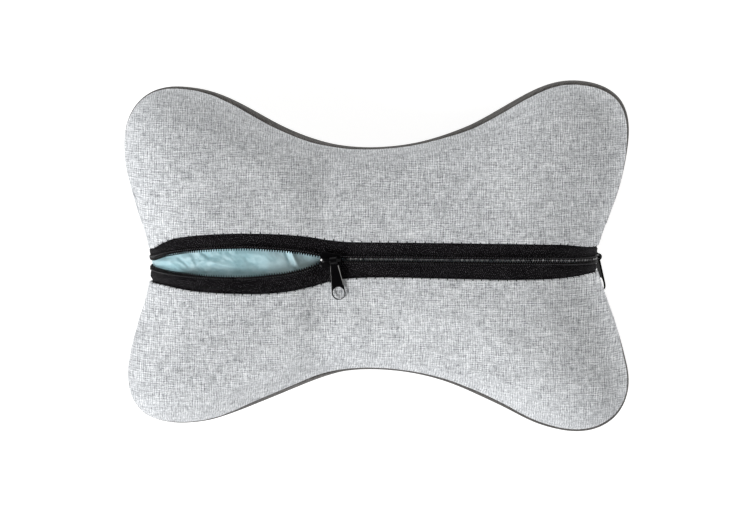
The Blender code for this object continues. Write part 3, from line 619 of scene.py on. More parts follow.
def linen(name, stops, pitch=0.62, warp_share=1.2, weft_share=1.0, grain=1.1, sheen=0.10):
    """Melange linen-look cloth: every thread has its own shade, which wanders along it."""
    s = Shader(name)
    x, y, _ = s.attribute("weave")

    def threads(sx, sy, z, detail=1.5, rough=0.55):
        return s.noise(s.combine(s.math('MULTIPLY', x, 1 / sx), s.math('MULTIPLY', y, 1 / sy), z), detail=detail, rough=rough)
    weft = threads(4.6, 0.60, 3.7)
    warp = threads(0.56, 5.6, 9.1)
    slub_x = threads(30.0, 1.0, 21.0, 1.0)
    slub_y = threads(0.95, 26.0, 27.0, 1.0)
    fine = threads(0.62, 0.58, 1.3, 1.0, 0.6)
    broad = threads(70.0, 55.0, 5.0, 2.0)
    patch = threads(9.5, 10.5, 15.0, 1.5)
    # over and under of a plain weave
    wx = s.math('SINE', s.math('MULTIPLY', x, math.pi / pitch))
    wy = s.math('SINE', s.math('MULTIPLY', y, math.pi / pitch))
    over = s.math('MULTIPLY', wx, wy)
    v = 0.5
    for part, share in ((weft, weft_share), (warp, warp_share), (fine, grain), (slub_x, 0.30), (slub_y, 0.30),
                        (broad, 0.22), (patch, 0.20)):
        v = s.math('MULTIPLY_ADD', s.math('SUBTRACT', part, 0.5), share, v)
    # the gaps between threads, whose spacing drifts
    drift = threads(7.0, 8.0, 33.0, 1.0)
    for axis, gap, share in ((x, 1.40, 0.12), (y, 1.32, 0.095)):
        line = s.math('SINE', s.math('MULTIPLY_ADD', axis, 2 * math.pi / gap, s.math('MULTIPLY', drift, 7.0)))
        v = s.math('MULTIPLY_ADD', s.math('MULTIPLY', line, s.math('MULTIPLY_ADD', patch, 1.4, 0.3)), share, v)
    color = s.ramp(v, stops)
    height = s.math('ADD', s.math('MULTIPLY', s.math('ABSOLUTE', over), 0.55), s.math('MULTIPLY', v, 0.8))
    normal = s.bump(height, 0.5, 0.00022)
    return s.finish(color, 0.88, normal, Sheen_Weight=sheen, Sheen_Roughness=0.5, Specular_IOR_Level=0.2)


LINEN = linen("grey_linen_melange", [(0.0, (0.195, 0.200, 0.210)), (0.32, (0.395, 0.405, 0.420)),
                                     (0.62, (0.600, 0.612, 0.628)), (1.0, (0.860, 0.868, 0.875))])
CHARCOAL = linen("charcoal_linen_melange", [(0.05, (0.014, 0.0125, 0.012)), (0.45, (0.040, 0.036, 0.033)),
                                            (0.95, (0.125, 0.115, 0.105))])


def tape_shader():
    s = Shader("woven_zip_tape")
    x, y, _ = s.attribute("weave")
    # herringbone ribs: rows of short slanted threads
    row = s.math('MULTIPLY', y, 1 / 1.1)
    flip = s.math('PINGPONG', row, 1.0)
    slant = s.math('MULTIPLY_ADD', flip, 1.1, s.math('MULTIPLY', x, 1.0))
    rib = s.math('SINE', s.math('MULTIPLY', slant, 2 * math.pi / 1.3))
    fine = s.noise(s.combine(s.math('MULTIPLY', x, 1 / 0.62), s.math('MULTIPLY', y, 1 / 0.58), 2.0), detail=1.5, rough=0.6)
    worn = s.noise(s.combine(s.math('MULTIPLY', x, 1 / 26.0), s.math('MULTIPLY', y, 1 / 6.0), 7.0), detail=2.0)
    v = s.math('MULTIPLY_ADD', rib, 0.14, s.math('MULTIPLY_ADD', s.math('SUBTRACT', fine, 0.5), 2.0, 0.43))
    v = s.math('MULTIPLY_ADD', s.math('SUBTRACT', worn, 0.5), 0.25, v)
    color = s.ramp(v, [(0.30, (0.0013, 0.0011, 0.0015)), (0.55, (0.0050, 0.0045, 0.0056)), (1.0, (0.115, 0.108, 0.116))])
    normal = s.bump(s.math('MULTIPLY_ADD', fine, 0.8, s.math('MULTIPLY', rib, 0.35)), 0.7, 0.00018)
    return s.finish(color, 0.85, normal, Sheen_Weight=0.0, Sheen_Roughness=0.4, Specular_IOR_Level=0.06)


def coil_shader():
    s = Shader("nylon_coil")
    x, y, z = s.attribute("weave")
    # noise that makes the painted highlights below uneven from loop to loop
    glint_breakup = s.noise(s.combine(s.math('MULTIPLY', x, 1 / 2.2), s.math('MULTIPLY', y, 1 / 0.6), 1.0), detail=2.0)
    # painted highlight: the tops of the loops near the meeting line are painted light grey, standing in for glints
    top = s.math('MULTIPLY', s.ramp(z, [(0.02, (0.0, 0.0, 0.0)), (0.22, (1.0, 1.0, 1.0))]),
                 s.ramp(y, [(0.90, (1.0, 1.0, 1.0)), (1.0, (0.0, 0.0, 0.0))]))
    coil_glint_paint = s.math('MULTIPLY', top, s.ramp(glint_breakup, [(0.35, (0.10, 0.10, 0.10)), (0.68, (1.0, 1.0, 1.0))]))
    color = s.mix(coil_glint_paint, (0.0018, 0.0016, 0.0020), (0.700, 0.690, 0.705))
    return s.finish(color, 0.22, None, Specular_IOR_Level=0.08, Coat_Weight=0.22, Coat_Roughness=0.12)


def thread_shader(name, dark, light):
    s = Shader(name)
    x, y, z = s.attribute("weave")
    ply = s.math('SINE', s.math('MULTIPLY', s.math('ADD', x, y), 2 * math.pi / 0.35))
    v = s.math('MULTIPLY_ADD', ply, 0.35, 0.5)
    color = s.ramp(v, [(0.0, dark), (1.0, light)])
    return s.finish(color, 0.6, s.bump(v, 0.5, 0.00008), Specular_IOR_Level=0.15)


def lacquer_shader(name, mark=None, coat=0.30):
    """Black lacquer; the point attribute holds the part's own directions in mm: along, across, up."""
    s = Shader(name)
    geo = s.node("ShaderNodeNewGeometry")
    co = s.node("ShaderNodeTexCoord")
    along, side, up = s.attribute("weave")
    mottled = s.noise(co.outputs["Object"], scale=900.0, detail=3.0, rough=0.6)
    smear = s.noise(co.outputs["Object"], scale=160.0, detail=2.0, rough=0.5)
    edge = s.ramp(geo.outputs["Pointiness"], [(0.50, (0.0, 0.0, 0.0)), (0.60, (1.0, 1.0, 1.0))])
    worn = s.math('MULTIPLY', edge, s.math('MULTIPLY_ADD', smear, 1.6, -0.55, clamp=True))
    color = s.mix(worn, (0.0015, 0.0014, 0.0017), (0.030, 0.030, 0.031))
    if mark == 'nose':
        # painted highlight: a near-white spot painted on the nose, standing in for a glint
        u = s.math('ADD', along, 5.35)
        far = s.math('SQRT', s.math('ADD', s.math('MULTIPLY', u, u), s.math('MULTIPLY', side, side)))
        nose_glint_paint = s.math('MULTIPLY', s.ramp(far, [(0.55, (1.0, 1.0, 1.0)), (0.80, (0.0, 0.0, 0.0))]),
                      s.math('GREATER_THAN', up, 1.2))
        color = s.mix(nose_glint_paint, color, (0.90, 0.90, 0.88))
    elif mark == 'shank':
        # painted highlight: light lines painted down the shank's edges, stronger on the +across side, standing in for
        # glints on its bevels
        lip = s.math('MULTIPLY_ADD', along, -0.118, s.math('ABSOLUTE', side))
        near = s.math('MULTIPLY', s.ramp(s.math('MULTIPLY', lip, 0.25), [(0.40, (0.0, 0.0, 0.0)), (0.46, (1.0, 1.0, 1.0))]),
                      s.math('MULTIPLY', s.math('GREATER_THAN', along, 3.2), s.math('LESS_THAN', along, 15.5)))
        near = s.math('MULTIPLY', near, s.math('GREATER_THAN', up, 0.0))
        share = s.math('MULTIPLY_ADD', s.math('GREATER_THAN', side, 0.0), 0.40, 0.10)
        color = s.mix(s.math('MULTIPLY', near, share), color, (0.62, 0.62, 0.60))
    rough = s.math('MULTIPLY_ADD', mottled, 0.14, s.math('MULTIPLY_ADD', smear, 0.16, 0.10))
    normal = s.bump(mottled, 0.12, 0.00004)
    return s.finish(color, rough, normal, Specular_IOR_Level=0.02, Coat_Weight=coat, Coat_Roughness=0.06)


def satin_shader():
    s = Shader("aqua_satin")
    x, y, _ = s.attribute("weave")
    thread = s.noise(s.combine(s.math('MULTIPLY', x, 1 / 0.35), s.math('MULTIPLY', y, 1 / 5.0), 2.0), detail=2.0, rough=0.6)
    crumple = s.noise(s.combine(s.math('MULTIPLY', x, 1 / 7.0), s.math('MULTIPLY', y, 1 / 4.0), 4.0), detail=3.0, rough=0.6, distortion=0.6)
    broad = s.noise(s.combine(s.math('MULTIPLY', x, 1 / 30.0), s.math('MULTIPLY', y, 1 / 22.0), 6.0), detail=1.0)
    # painted shade: the colour follows the crumple noise that also makes the bump, darker in its hollows and lighter
    # on its ridges
    v = s.math('MULTIPLY_ADD', s.math('SUBTRACT', crumple, 0.5), 0.9, s.math('MULTIPLY_ADD', s.math('SUBTRACT', broad, 0.5), 0.7, 0.5))
    # painted light: the satin is painted lighter towards +X, rising from x = -84 mm to -44 mm
    v = s.math('MULTIPLY_ADD', s.math('MULTIPLY_ADD', x, 1 / 40.0, 2.1, clamp=True), 0.42, v)
    color = s.ramp(v, [(0.1, (0.215, 0.415, 0.460)), (0.5, (0.355, 0.570, 0.625)), (0.9, (0.520, 0.715, 0.765))])
    height = s.math('MULTIPLY_ADD', thread, 0.12, s.math('MULTIPLY', crumple, 1.0))
    normal = s.bump(height, 0.35, 0.0009)
    return s.finish(color, 0.42, normal, Sheen_Weight=0.25, Sheen_Roughness=0.35, Specular_IOR_Level=0.5)


TAPE = tape_shader()
COIL = coil_shader()
BLACK_THREAD = thread_shader("black_thread", (0.0025, 0.0022, 0.0026), (0.010, 0.0092, 0.0105))
SEWING_THREAD = thread_shader("coil_sewing_thread", (0.020, 0.019, 0.021), (0.150, 0.145, 0.152))
LACQUER = lacquer_shader("black_lacquer_slider", 'nose')
TAB_LACQUER = lacquer_shader("black_lacquer_pull_tab", 'shank')
DULL_LACQUER = lacquer_shader("black_lacquer_dull", None, 0.0)
SATIN = satin_shader()


# ---------------------------------------------------------------- cloth simulation
def sag(p):
    """Extra hollow of the panels along the crease, none at the zip or near the seam."""
    x, y, z = p[..., 0], p[..., 1], p[..., 2]
    off = np.abs(y - through(ZIP_MID, x))
    across = smooth(17.0, 27.0, off) * smooth(RIM_Z + 8, RIM_Z + 28, z)
    return CREASE_MORE * np.exp(-((x - CREASE_X) / (0.85 * CREASE_WIDTH)) ** 2) * across


def swollen(verts, faces, pins, cap, pressure=4.0, slack=0.012, frames=20, sew=None):
    """How far each point of a sheet moves when it is filled from behind, its edges held."""
    scene = bpy.context.scene
    me = bpy.data.meshes.new("sim")
    me.from_pydata((verts * MM).tolist(), [], [list(map(int, f)) for f in faces])
    ob = link(bpy.data.objects.new("sim", me))
    held = ob.vertex_groups.new(name="held")
    held.add([int(i) for i in np.nonzero(pins)[0]], 1.0, 'REPLACE')
    m = ob.modifiers.new("cloth", 'CLOTH')
    c = m.settings
    c.quality = 6
    c.mass = 0.25
    c.air_damping = 2.0
    c.tension_stiffness = c.compression_stiffness = 25.0
    c.shear_stiffness = 12.0
    c.bending_stiffness = 0.6
    c.tension_damping = c.compression_damping = 12.0
    c.shear_damping = 8.0
    c.bending_damping = 2.0
    c.vertex_group_mass = "held"
    c.pin_stiffness = 1.0
    c.shrink_min = -slack
    c.use_pressure = True
    c.uniform_pressure_force = pressure
    c.effector_weights.gravity = 0.0
    m.collision_settings.use_collision = False
    m.collision_settings.use_self_collision = False
    m.point_cache.frame_start = 1
    m.point_cache.frame_end = frames
    for f in range(1, frames + 1):
        scene.frame_set(f)
    dg = bpy.context.evaluated_depsgraph_get()
    ev = ob.evaluated_get(dg)
    em = ev.to_mesh()
    co = np.zeros(len(em.vertices) * 3)
    em.vertices.foreach_get("co", co)
    ev.to_mesh_clear()
    moved = co.reshape(-1, 3) / MM - verts
    bpy.data.objects.remove(ob, do_unlink=True)
    bpy.data.meshes.remove(me)
    scene.frame_set(1)
    moved[~np.isfinite(moved).all(1)] = 0.0
    far = np.linalg.norm(moved, axis=1)
    return moved * (np.minimum(far, cap) / np.maximum(far, 1e-9))[:, None]


# ---------------------------------------------------------------- cover panels
HEAD = np.array([0.0, 0.10, 0.28, 0.52, 0.80, 1.15, 1.6, 2.2, 3.0, 4.0, 5.2, 6.6, 8.2])


def rows_between(total, middle):
    """Distances across a panel from one edge: close together at both edges."""
    head = HEAD[None] * np.minimum(1.0, total / 30.0)[:, None]
    core = np.linspace(0, 1, middle + 2)[1:-1]
    a, b = head[:, -1:], total[:, None] - head[:, -1:]
    return np.hstack([head, a + (b - a) * core[None], total[:, None] - head[:, ::-1]])


def panel_lines(side, n):
    """Start on the zip edge and end on the seam of each line across a back panel."""
    edge = EDGES[side]
    pts = on_skin(edge[:, 0], edge[:, 1])
    along = np.concatenate([[0], np.cumsum(np.linalg.norm(np.diff(pts, axis=0), axis=1))])
    k0, k1 = edge[0, 0], edge[-1, 0]            # from the -X end to the +X end
    if side < 0 and k1 < k0:
        k1 += NK
    ks = np.linspace(k0, k1, 1600)
    rim = on_skin(ks, 1.0)
    d = np.abs(np.diff(rim[:, 0])) + 0.35 * np.abs(np.diff(rim[:, 1]))
    arc = np.linalg.norm(np.diff(rim[:, :2], axis=0), axis=1)
    cum_e = np.concatenate([[0], np.cumsum(d)])
    cum_s = np.concatenate([[0], np.cumsum(arc)])
    u = np.linspace(0, 1, n)
    # a little denser where the edge turns down the end walls
    s = u * cum_s[-1]
    k = np.interp(s, cum_s, ks)
    e = np.interp(s, cum_s, cum_e) / cum_e[-1] * along[-1]
    ek = np.interp(e, along, np.unwrap(edge[:, 0], period=NK))
    et = np.interp(e, along, edge[:, 1])
    a = np.interp(e, along, A_EDGE)
    return ek, et, k, seam_row(k), a, s


def across(ek, et, sk, st, count=220):
    """Dense samples of the lines and the distance along them."""
    w = np.linspace(0, 1, count)[None]
    k = ek[:, None] + (sk - ek)[:, None] * w
    t = et[:, None] + (st - et)[:, None] * w
    p = on_skin(k, t)
    d = np.concatenate([np.zeros((len(ek), 1)), np.cumsum(np.linalg.norm(np.diff(p, axis=1), axis=2), axis=1)], 1)
    return w[0], d


def interp_rows(x, xp, fp):
    return np.array([np.interp(x[i], xp[i], fp if fp.ndim == 1 else fp[i]) for i in range(len(x))])


def upsample(delta, u_from, v_from, u_to, v_to):
    """Smoothly carries displacements from a coarse grid to a fine one. v_to is per row."""
    nu, nv, _ = delta.shape
    kernel = np.array([1, 4, 6, 4, 1], float) / 16
    pad = np.pad(delta, ((2, 2), (2, 2), (0, 0)), mode='edge')
    soft = sum(kernel[i] * pad[i:i + nu] for i in range(5))
    soft = sum(kernel[j] * soft[:, j:j + nv] for j in range(5))
    mid = np.empty((len(u_to), nv, 3))
    for j in range(nv):
        for c in range(3):
            mid[:, j, c] = cubic(u_to, u_from, soft[:, j, c])
    out = np.empty(v_to.shape + (3,))
    for i in range(len(u_to)):
        for c in range(3):
            out[i, :, c] = cubic(v_to[i], v_from, mid[i, :, c])
    return out


def cubic(x, xp, fp):
    h = xp[1] - xp[0]
    u = np.clip((x - xp[0]) / h, 0, len(xp) - 1 - 1e-9)
    i = u.astype(int)
    f = u - i
    p = np.concatenate([[2 * fp[0] - fp[1]], fp, [2 * fp[-1] - fp[-2]]])
    a, b, c, d = p[i], p[i + 1], p[i + 2], p[np.minimum(i + 3, len(p) - 1)]
    return b + 0.5 * f * (c - a + f * (2 * a - 5 * b + 4 * c - d + f * (3 * (b - c) + d - a)))


def pucker(arc, d, salt):
    """Little gathers that run in from a sewn edge."""
    w = 0.55 * wander(arc, 3.4, salt) + 0.45 * wander(arc + 40, 7.9, salt + 1)
    reach = 3.0 + 3.0 * hashed(np.floor(arc / 6.0), salt + 2)
    return w * np.exp(-(d / reach) ** 1.5)


def closed_sheet(outer, normal, off_out, off_in, close_u):
    """Two faces of a sheet from one grid: offsets from the skin for its face and its back."""
    a = outer + normal * off_out[..., None]
    b = outer + normal * off_in[..., None]
    return a, b


def back_panel(name, side, salt):
    nu, middle = 330, 52
    ek, et, sk, st, a, arc = panel_lines(side, nu + 2)
    ek, et, sk, st, a, arc = (q[1:-1] for q in (ek, et, sk, st, a, arc))
    w, d = across(ek, et, sk, st)
    total = d[:, -1]
    rows = rows_between(total, middle)
    ww = interp_rows(rows, d, w)
    k = ek[:, None] + (sk - ek)[:, None] * ww
    t = et[:, None] + (st - et)[:, None] * ww
    p, n = on_skin(k, t), skin_normal(k, t)

    # the cloth between its sewn edges, swollen by the filling
    cu, cv = 84, 26
    pick = np.linspace(3, nu - 4, cu)
    crow = np.linspace(0, 1, cv)
    idx = np.round(pick).astype(int)
    cw = interp_rows(crow[None] * total[idx][:, None], d[idx], w)
    cp = on_skin(ek[idx][:, None] + (sk - ek)[idx][:, None] * cw, et[idx][:, None] + (st - et)[idx][:, None] * cw)
    pins = np.zeros((cu, cv), bool)
    pins[0], pins[-1], pins[:, 0], pins[:, -1] = True, True, True, True
    faces = grid_faces(cu, cv, flip=side < 0)
    move = swollen(cp.reshape(-1, 3), faces, pins.ravel(), 4.0).reshape(cu, cv, 3)
    print(name, "swells", round(float(np.linalg.norm(move, axis=2).max()), 2), "mm")
    lin = np.linspace(0, cu - 1, cu)
    fine = upsample(move * 0.55, lin, crow, np.interp(np.arange(nu), pick, lin), rows / total[:, None])
    fade = smooth(0, 12, arc) * smooth(0, 12, arc[-1] - arc)
    p = p + fine * fade[:, None, None]
    p = p - n * sag(p)[..., None]

    de, ds = rows, total[:, None] - rows
    hem = 1 - smooth(4.5, 6.5, de)
    thick = COVER_THICK + 0.75 * hem
    r_e, r_s = 0.5 * 1.95, 0.5 * COVER_THICK
    nose_e = np.where(de < r_e, r_e - np.sqrt(np.maximum(r_e ** 2 - (r_e - de) ** 2, 0)), 0.0)
    nose_s = np.where(ds < r_s, r_s - np.sqrt(np.maximum(r_s ** 2 - (r_s - ds) ** 2, 0)), 0.0)
    dip = 0.75 * np.exp(-(ds / 2.0) ** 2) + 0.16 * np.exp(-((de - 3.0) / 0.55) ** 2) * 0
    crimp = 0.20 * pucker(arc[:, None] + 0 * ds, ds, salt) + 0.10 * pucker(a[:, None] + 0 * de, de, salt + 5)
    crimp = crimp * smooth(0.0, 1.2, ds) * smooth(0.0, 1.2, de)
    face = -dip + crimp - nose_e - nose_s
    back = -dip + crimp * 0.5 - thick + nose_e + nose_s
    outer, inner = closed_sheet(p, n, face, back, False)

    # where each point is in the flat cloth: along the zip and away from it
    rim = on_skin(sk, 1.0)[:, :2]
    start = on_skin(ek, et)[:, :2]
    way = rim - start
    way /= np.maximum(np.linalg.norm(way, axis=1), 1e-6)[:, None]
    flat = on_skin(k, t)[..., :2]
    ahead = ((flat - start[:, None]) * way[:, None]).sum(2)
    extra = 0.8 * np.maximum(rows - ahead, 0.0) * smooth(0.55, 1.0, rows / total[:, None])
    weave = np.zeros(p.shape)
    weave[..., 0] = flat[..., 0] + way[:, 0:1] * extra
    weave[..., 1] = flat[..., 1] + way[:, 1:2] * extra + (300 if side > 0 else 0)
    m = rows.shape[1]
    verts = np.vstack([outer.reshape(-1, 3), inner.reshape(-1, 3)])
    faces = grid_faces(nu, m, flip=side < 0) + grid_faces(nu, m, offset=nu * m, flip=side > 0)
    for i in range(nu - 1):
        for j in (0, m - 1):
            f = (i * m + j, (i + 1) * m + j, nu * m + (i + 1) * m + j, nu * m + i * m + j)
            faces.append(f)
    for j in range(m - 1):
        for i in (0, nu - 1):
            faces.append((i * m + j, nu * m + i * m + j, nu * m + i * m + j + 1, i * m + j + 1))
    ob = mesh_object(name, verts, faces, LINEN, attrs={"weave": np.vstack([weave.reshape(-1, 3)] * 2)},
                     doubles=0.0005)
    cell = np.linalg.norm(np.cross(p[1:, :-1] - p[:-1, :-1], p[:-1, 1:] - p[:-1, :-1]), axis=2)
    area = float(cell.sum())
    ob["flat_area_mm2"] = area
    return ob, area, outer, weave, (k, t)


def front_panel():
    nu, middle = 440, 34
    ks = np.linspace(0, NK, nu + 1)[:-1]
    top = seam_row(ks).copy()
    # the seam allowance closes over the zip's ends
    for end in (0, -1):
        for_k = [EDGES[s][end][0] % NK for s in (1, -1)]
        lo, hi = min(for_k), max(for_k)
        if hi - lo > HALF:
            inside = (ks < lo + 3) | (ks > hi - 3)
        else:
            inside = (ks > lo - 3) & (ks < hi + 3)
        top = np.where(inside, top - 0.016, top)
    w, d = across(ks, top, ks, np.full(nu, 2.0))
    total = d[:, -1]
    head = HEAD[None] * np.ones((nu, 1))
    core = np.linspace(0, 1, middle + 2)[1:]
    rows = np.hstack([head, head[:, -1:] + (total[:, None] - head[:, -1:]) * core[None] ** 1.15])
    ww = interp_rows(rows, d, w)
    k = np.repeat(ks[:, None], rows.shape[1], 1)
    t = top[:, None] + (2.0 - top)[:, None] * ww
    p, n = on_skin(k, t), skin_normal(k, t)
    n[p[..., 2] < 0.02] = (0, 0, -1)
    n[:, -2:] = (0, 0, -1)

    # only the wall between the seam and the floor can swell
    cu, cv = 110, 18
    idx = (np.arange(cu) * nu // cu)
    down = np.minimum(total[idx], 95.0)
    crow = np.linspace(0, 1, cv)
    cw = interp_rows(crow[None] * down[:, None], d[idx], w)
    cp = on_skin(np.repeat(ks[idx][:, None], cv, 1), top[idx][:, None] + (2.0 - top[idx])[:, None] * cw)
    pins = np.zeros((cu, cv), bool)
    pins[:, 0] = True
    pins |= cp[..., 2] < 1.5
    pins[:, -1] = True
    faces = grid_faces(cu, cv, closed_rows=True)
    move = swollen(cp.reshape(-1, 3), faces, pins.ravel(), 3.5).reshape(cu, cv, 3)
    print("front panel swells", round(float(np.linalg.norm(move, axis=2).max()), 2), "mm")
    ring = np.concatenate([move[-3:], move, move[:4]])
    lin = np.arange(-3, cu + 4, dtype=float)
    v_to = np.clip(rows / down[0], 0, 1)
    fine = upsample(ring * 0.5, lin, crow, np.arange(nu) * cu / nu, v_to)
    fine *= (1 - smooth(0.85, 1.0, v_to))[..., None]
    p = p + fine
    p[..., 2] = np.maximum(p[..., 2], 0.0)

    r_s = 0.5 * COVER_THICK
    ds = rows
    nose = np.where(ds < r_s, r_s - np.sqrt(np.maximum(r_s ** 2 - (r_s - ds) ** 2, 0)), 0.0)
    dip = 0.75 * np.exp(-(ds / 2.0) ** 2)
    arc = np.interp(ks, np.arange(NK + 1), _arc)
    crimp = 0.22 * pucker(arc[:, None] + 0 * ds, ds, 31) * smooth(0.0, 1.2, ds)
    face, back = -dip + crimp - nose, -dip - COVER_THICK + nose
    flat = smooth(0.5, 4.0, p[..., 2])
    face = face * flat
    outer, inner = p + n * face[..., None], p + n * back[..., None]
    outer[..., 2] = np.maximum(outer[..., 2], 0.0)

    rim = on_skin(ks, 1.0)[:, :2]
    spine = on_skin(ks, 2.0)[:, :2]
    way = rim - spine
    way /= np.linalg.norm(way, axis=1)[:, None]
    weave = np.zeros(p.shape)
    run = total[:, None] - rows
    weave[..., 0] = spine[:, 0:1] + way[:, 0:1] * run
    weave[..., 1] = spine[:, 1:2] + way[:, 1:2] * run - 400
    m = rows.shape[1]
    verts = np.vstack([outer.reshape(-1, 3), inner.reshape(-1, 3)])
    faces = (grid_faces(nu, m, closed_rows=True) + grid_faces(nu, m, closed_rows=True, offset=nu * m, flip=True))
    for i in range(nu):
        i1 = (i + 1) % nu
        faces.append((i * m, i1 * m, nu * m + i1 * m, nu * m + i * m))
    # both halves meet along the spine
    half = nu // 2
    weld = np.arange(len(verts))
    for layer in (0, nu * m):
        for i in range(half + 1, nu):
            weld[layer + i * m + m - 1] = layer + (nu - i) * m + m - 1
    clean = []
    for f in faces:
        g = []
        for v in (weld[i] for i in f):
            if v not in g:
                g.append(v)
        if len(g) > 2:
            clean.append(g)
    ob = mesh_object("cover_front_panel", verts, clean, CHARCOAL,
                     attrs={"weave": np.vstack([weave.reshape(-1, 3)] * 2)}, doubles=0.0005)
    bm = bmesh.new()
    bm.from_mesh(ob.data)
    bmesh.ops.delete(bm, geom=[v for v in bm.verts if not v.link_faces], context='VERTS')
    bm.to_mesh(ob.data)
    bm.free()
    cell = np.linalg.norm(np.cross(np.roll(p, -1, 0)[:, :-1] - p[:, :-1], p[:, 1:] - p[:, :-1]), axis=2)
    return ob, float(cell.sum()), outer, weave


UPPER, UPPER_AREA, UP_FACE, _, _ = back_panel("cover_back_panel_upper", 1, 11)
LOWER, LOWER_AREA, LOW_FACE, _, _ = back_panel("cover_back_panel_lower", -1, 21)
FRONT, FRONT_AREA, FRONT_FACE, _ = front_panel()
for ob, node in ((UPPER, "back_panel_upper"), (LOWER, "back_panel_lower"), (FRONT, "front_panel")):
    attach(ob, "root")
    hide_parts(node)
print("areas mm2", round(UPPER_AREA), round(LOWER_AREA), round(FRONT_AREA))


# ---------------------------------------------------------------- zip tapes
def strip_piece(name, aa, yy, h_out, h_in, mat):
    """Closed woven strip; rows along the zip, columns across it."""
    a = np.repeat(aa[:, None], yy.shape[1], 1)
    top, low = ZIP.lift(a, yy, h_out), ZIP.lift(a, yy, h_in)
    n, m = yy.shape
    verts = np.vstack([top.reshape(-1, 3), low.reshape(-1, 3)])
    faces = grid_faces(n, m) + grid_faces(n, m, offset=n * m, flip=True)
    for i in range(n - 1):
        for j in (0, m - 1):
            faces.append((i * m + j, (i + 1) * m + j, n * m + (i + 1) * m + j, n * m + i * m + j))
    for j in range(m - 1):
        for i in (0, n - 1):
            faces.append((i * m + j, n * m + i * m + j, n * m + i * m + j + 1, i * m + j + 1))
    weave = np.zeros((n, m, 3))
    weave[..., 0], weave[..., 1] = a, yy
    return mesh_object(name, verts, faces, mat, attrs={"weave": np.vstack([weave.reshape(-1, 3)] * 2)},
                       doubles=0.0002)


def end_rise(a):
    """The zip bows out a little where it bends down over either end."""
    a = np.asarray(a, float)
    return 1.5 * np.exp(-((a - ZIP.a_right) / 8.5) ** 2) + 1.7 * np.exp(-((a - ZIP.a_left) / 8.0) ** 2)


def coil_rise(a):
    return 0.10 * end_rise(a) - 0.8 * np.exp(-((a - ZIP.a_left) / 7.0) ** 2) - 0.5 * np.exp(-((a - ZIP.a_right) / 7.0) ** 2)


def tape(name, side):
    a = np.linspace(0.0, ZIP.length, 420)
    mid, gap = zip_mid(a), zip_gap(a)
    inner = mid + side * (gap + COIL_INNER + 0.55)
    outer = edge_of(a, side) + side * TAPE_TUCK
    u = np.array([0.0, 0.012, 0.04, 0.10, 0.17, 0.20, 0.23, 0.32, 0.45, 0.6, 0.75, 0.9, 1.0])
    y = inner[:, None] + (outer - inner)[:, None] * u[None]
    edge = np.array([-0.40, -0.12, 0.0, 0.02, 0.05, -0.22, 0.06, 0.1, 0.02, 0.08, 0.0, 0.05, 0.0])
    ripple = 0.07 * wander(a, 5.0, 3 + side)[:, None] * smooth(0.2, 0.5, u)[None]
    low = np.array([-0.40, -0.68, -0.8, -0.8, -0.8, -0.8, -0.8, -0.8, -0.8, -0.8, -0.8, -0.8, -0.8])
    rise = end_rise(a)[:, None] * (1 - smooth(0.46, 0.62, u))[None]
    return strip_piece(name, a, y, -TAPE_DROP + edge[None] + ripple + rise, -TAPE_DROP + low[None] + rise, TAPE)


# ---------------------------------------------------------------- coils and threads as tubes
def tube(path, radius, sides=6, closed_ends=True, width=None, up=None):
    """Vertices and faces of a round tube along a path of points."""
    p = np.asarray(path, float)
    t = np.gradient(p, axis=0)
    t /= np.maximum(np.linalg.norm(t, axis=1), 1e-9)[:, None]
    ref = np.array([0.0, 0.0, 1.0]) if up is None else np.asarray(up, float)
    ref = np.broadcast_to(ref, p.shape)
    b = np.cross(t, ref)
    bad = np.linalg.norm(b, axis=1) < 1e-3
    b[bad] = np.cross(t[bad], [1.0, 0.0, 0.0])
    b /= np.linalg.norm(b, axis=1)[:, None]
    for i in range(1, len(b)):                 # keep it from spinning
        v = b[i - 1] - t[i] * (b[i - 1] @ t[i])
        if np.linalg.norm(v) > 1e-6:
            b[i] = v / np.linalg.norm(v)
    c = np.cross(t, b)
    th = 2 * math.pi * np.arange(sides) / sides
    r = np.broadcast_to(np.asarray(radius, float), (len(p),))
    ring = (p[:, None] + b[:, None] * (np.cos(th) * 1.0)[None, :, None] * r[:, None, None]
            + c[:, None] * np.sin(th)[None, :, None] * r[:, None, None])
    verts = ring.reshape(-1, 3)
    faces = []
    for i in range(len(p) - 1):
        for j in range(sides):
            j1 = (j + 1) % sides
            faces.append((i * sides + j, i * sides + j1, (i + 1) * sides + j1, (i + 1) * sides + j))
    if closed_ends:
        faces.append(tuple(range(sides))[::-1])
        faces.append(tuple((len(p) - 1) * sides + j for j in range(sides)))
    return verts, faces


def join(parts):
    verts, faces, weave, o = [], [], [], 0
    for v, f, w in parts:
        verts.append(v)
        faces += [tuple(o + i for i in q) for q in f]
        weave.append(w)
        o += len(v)
    return np.vstack(verts), faces, np.vstack(weave)


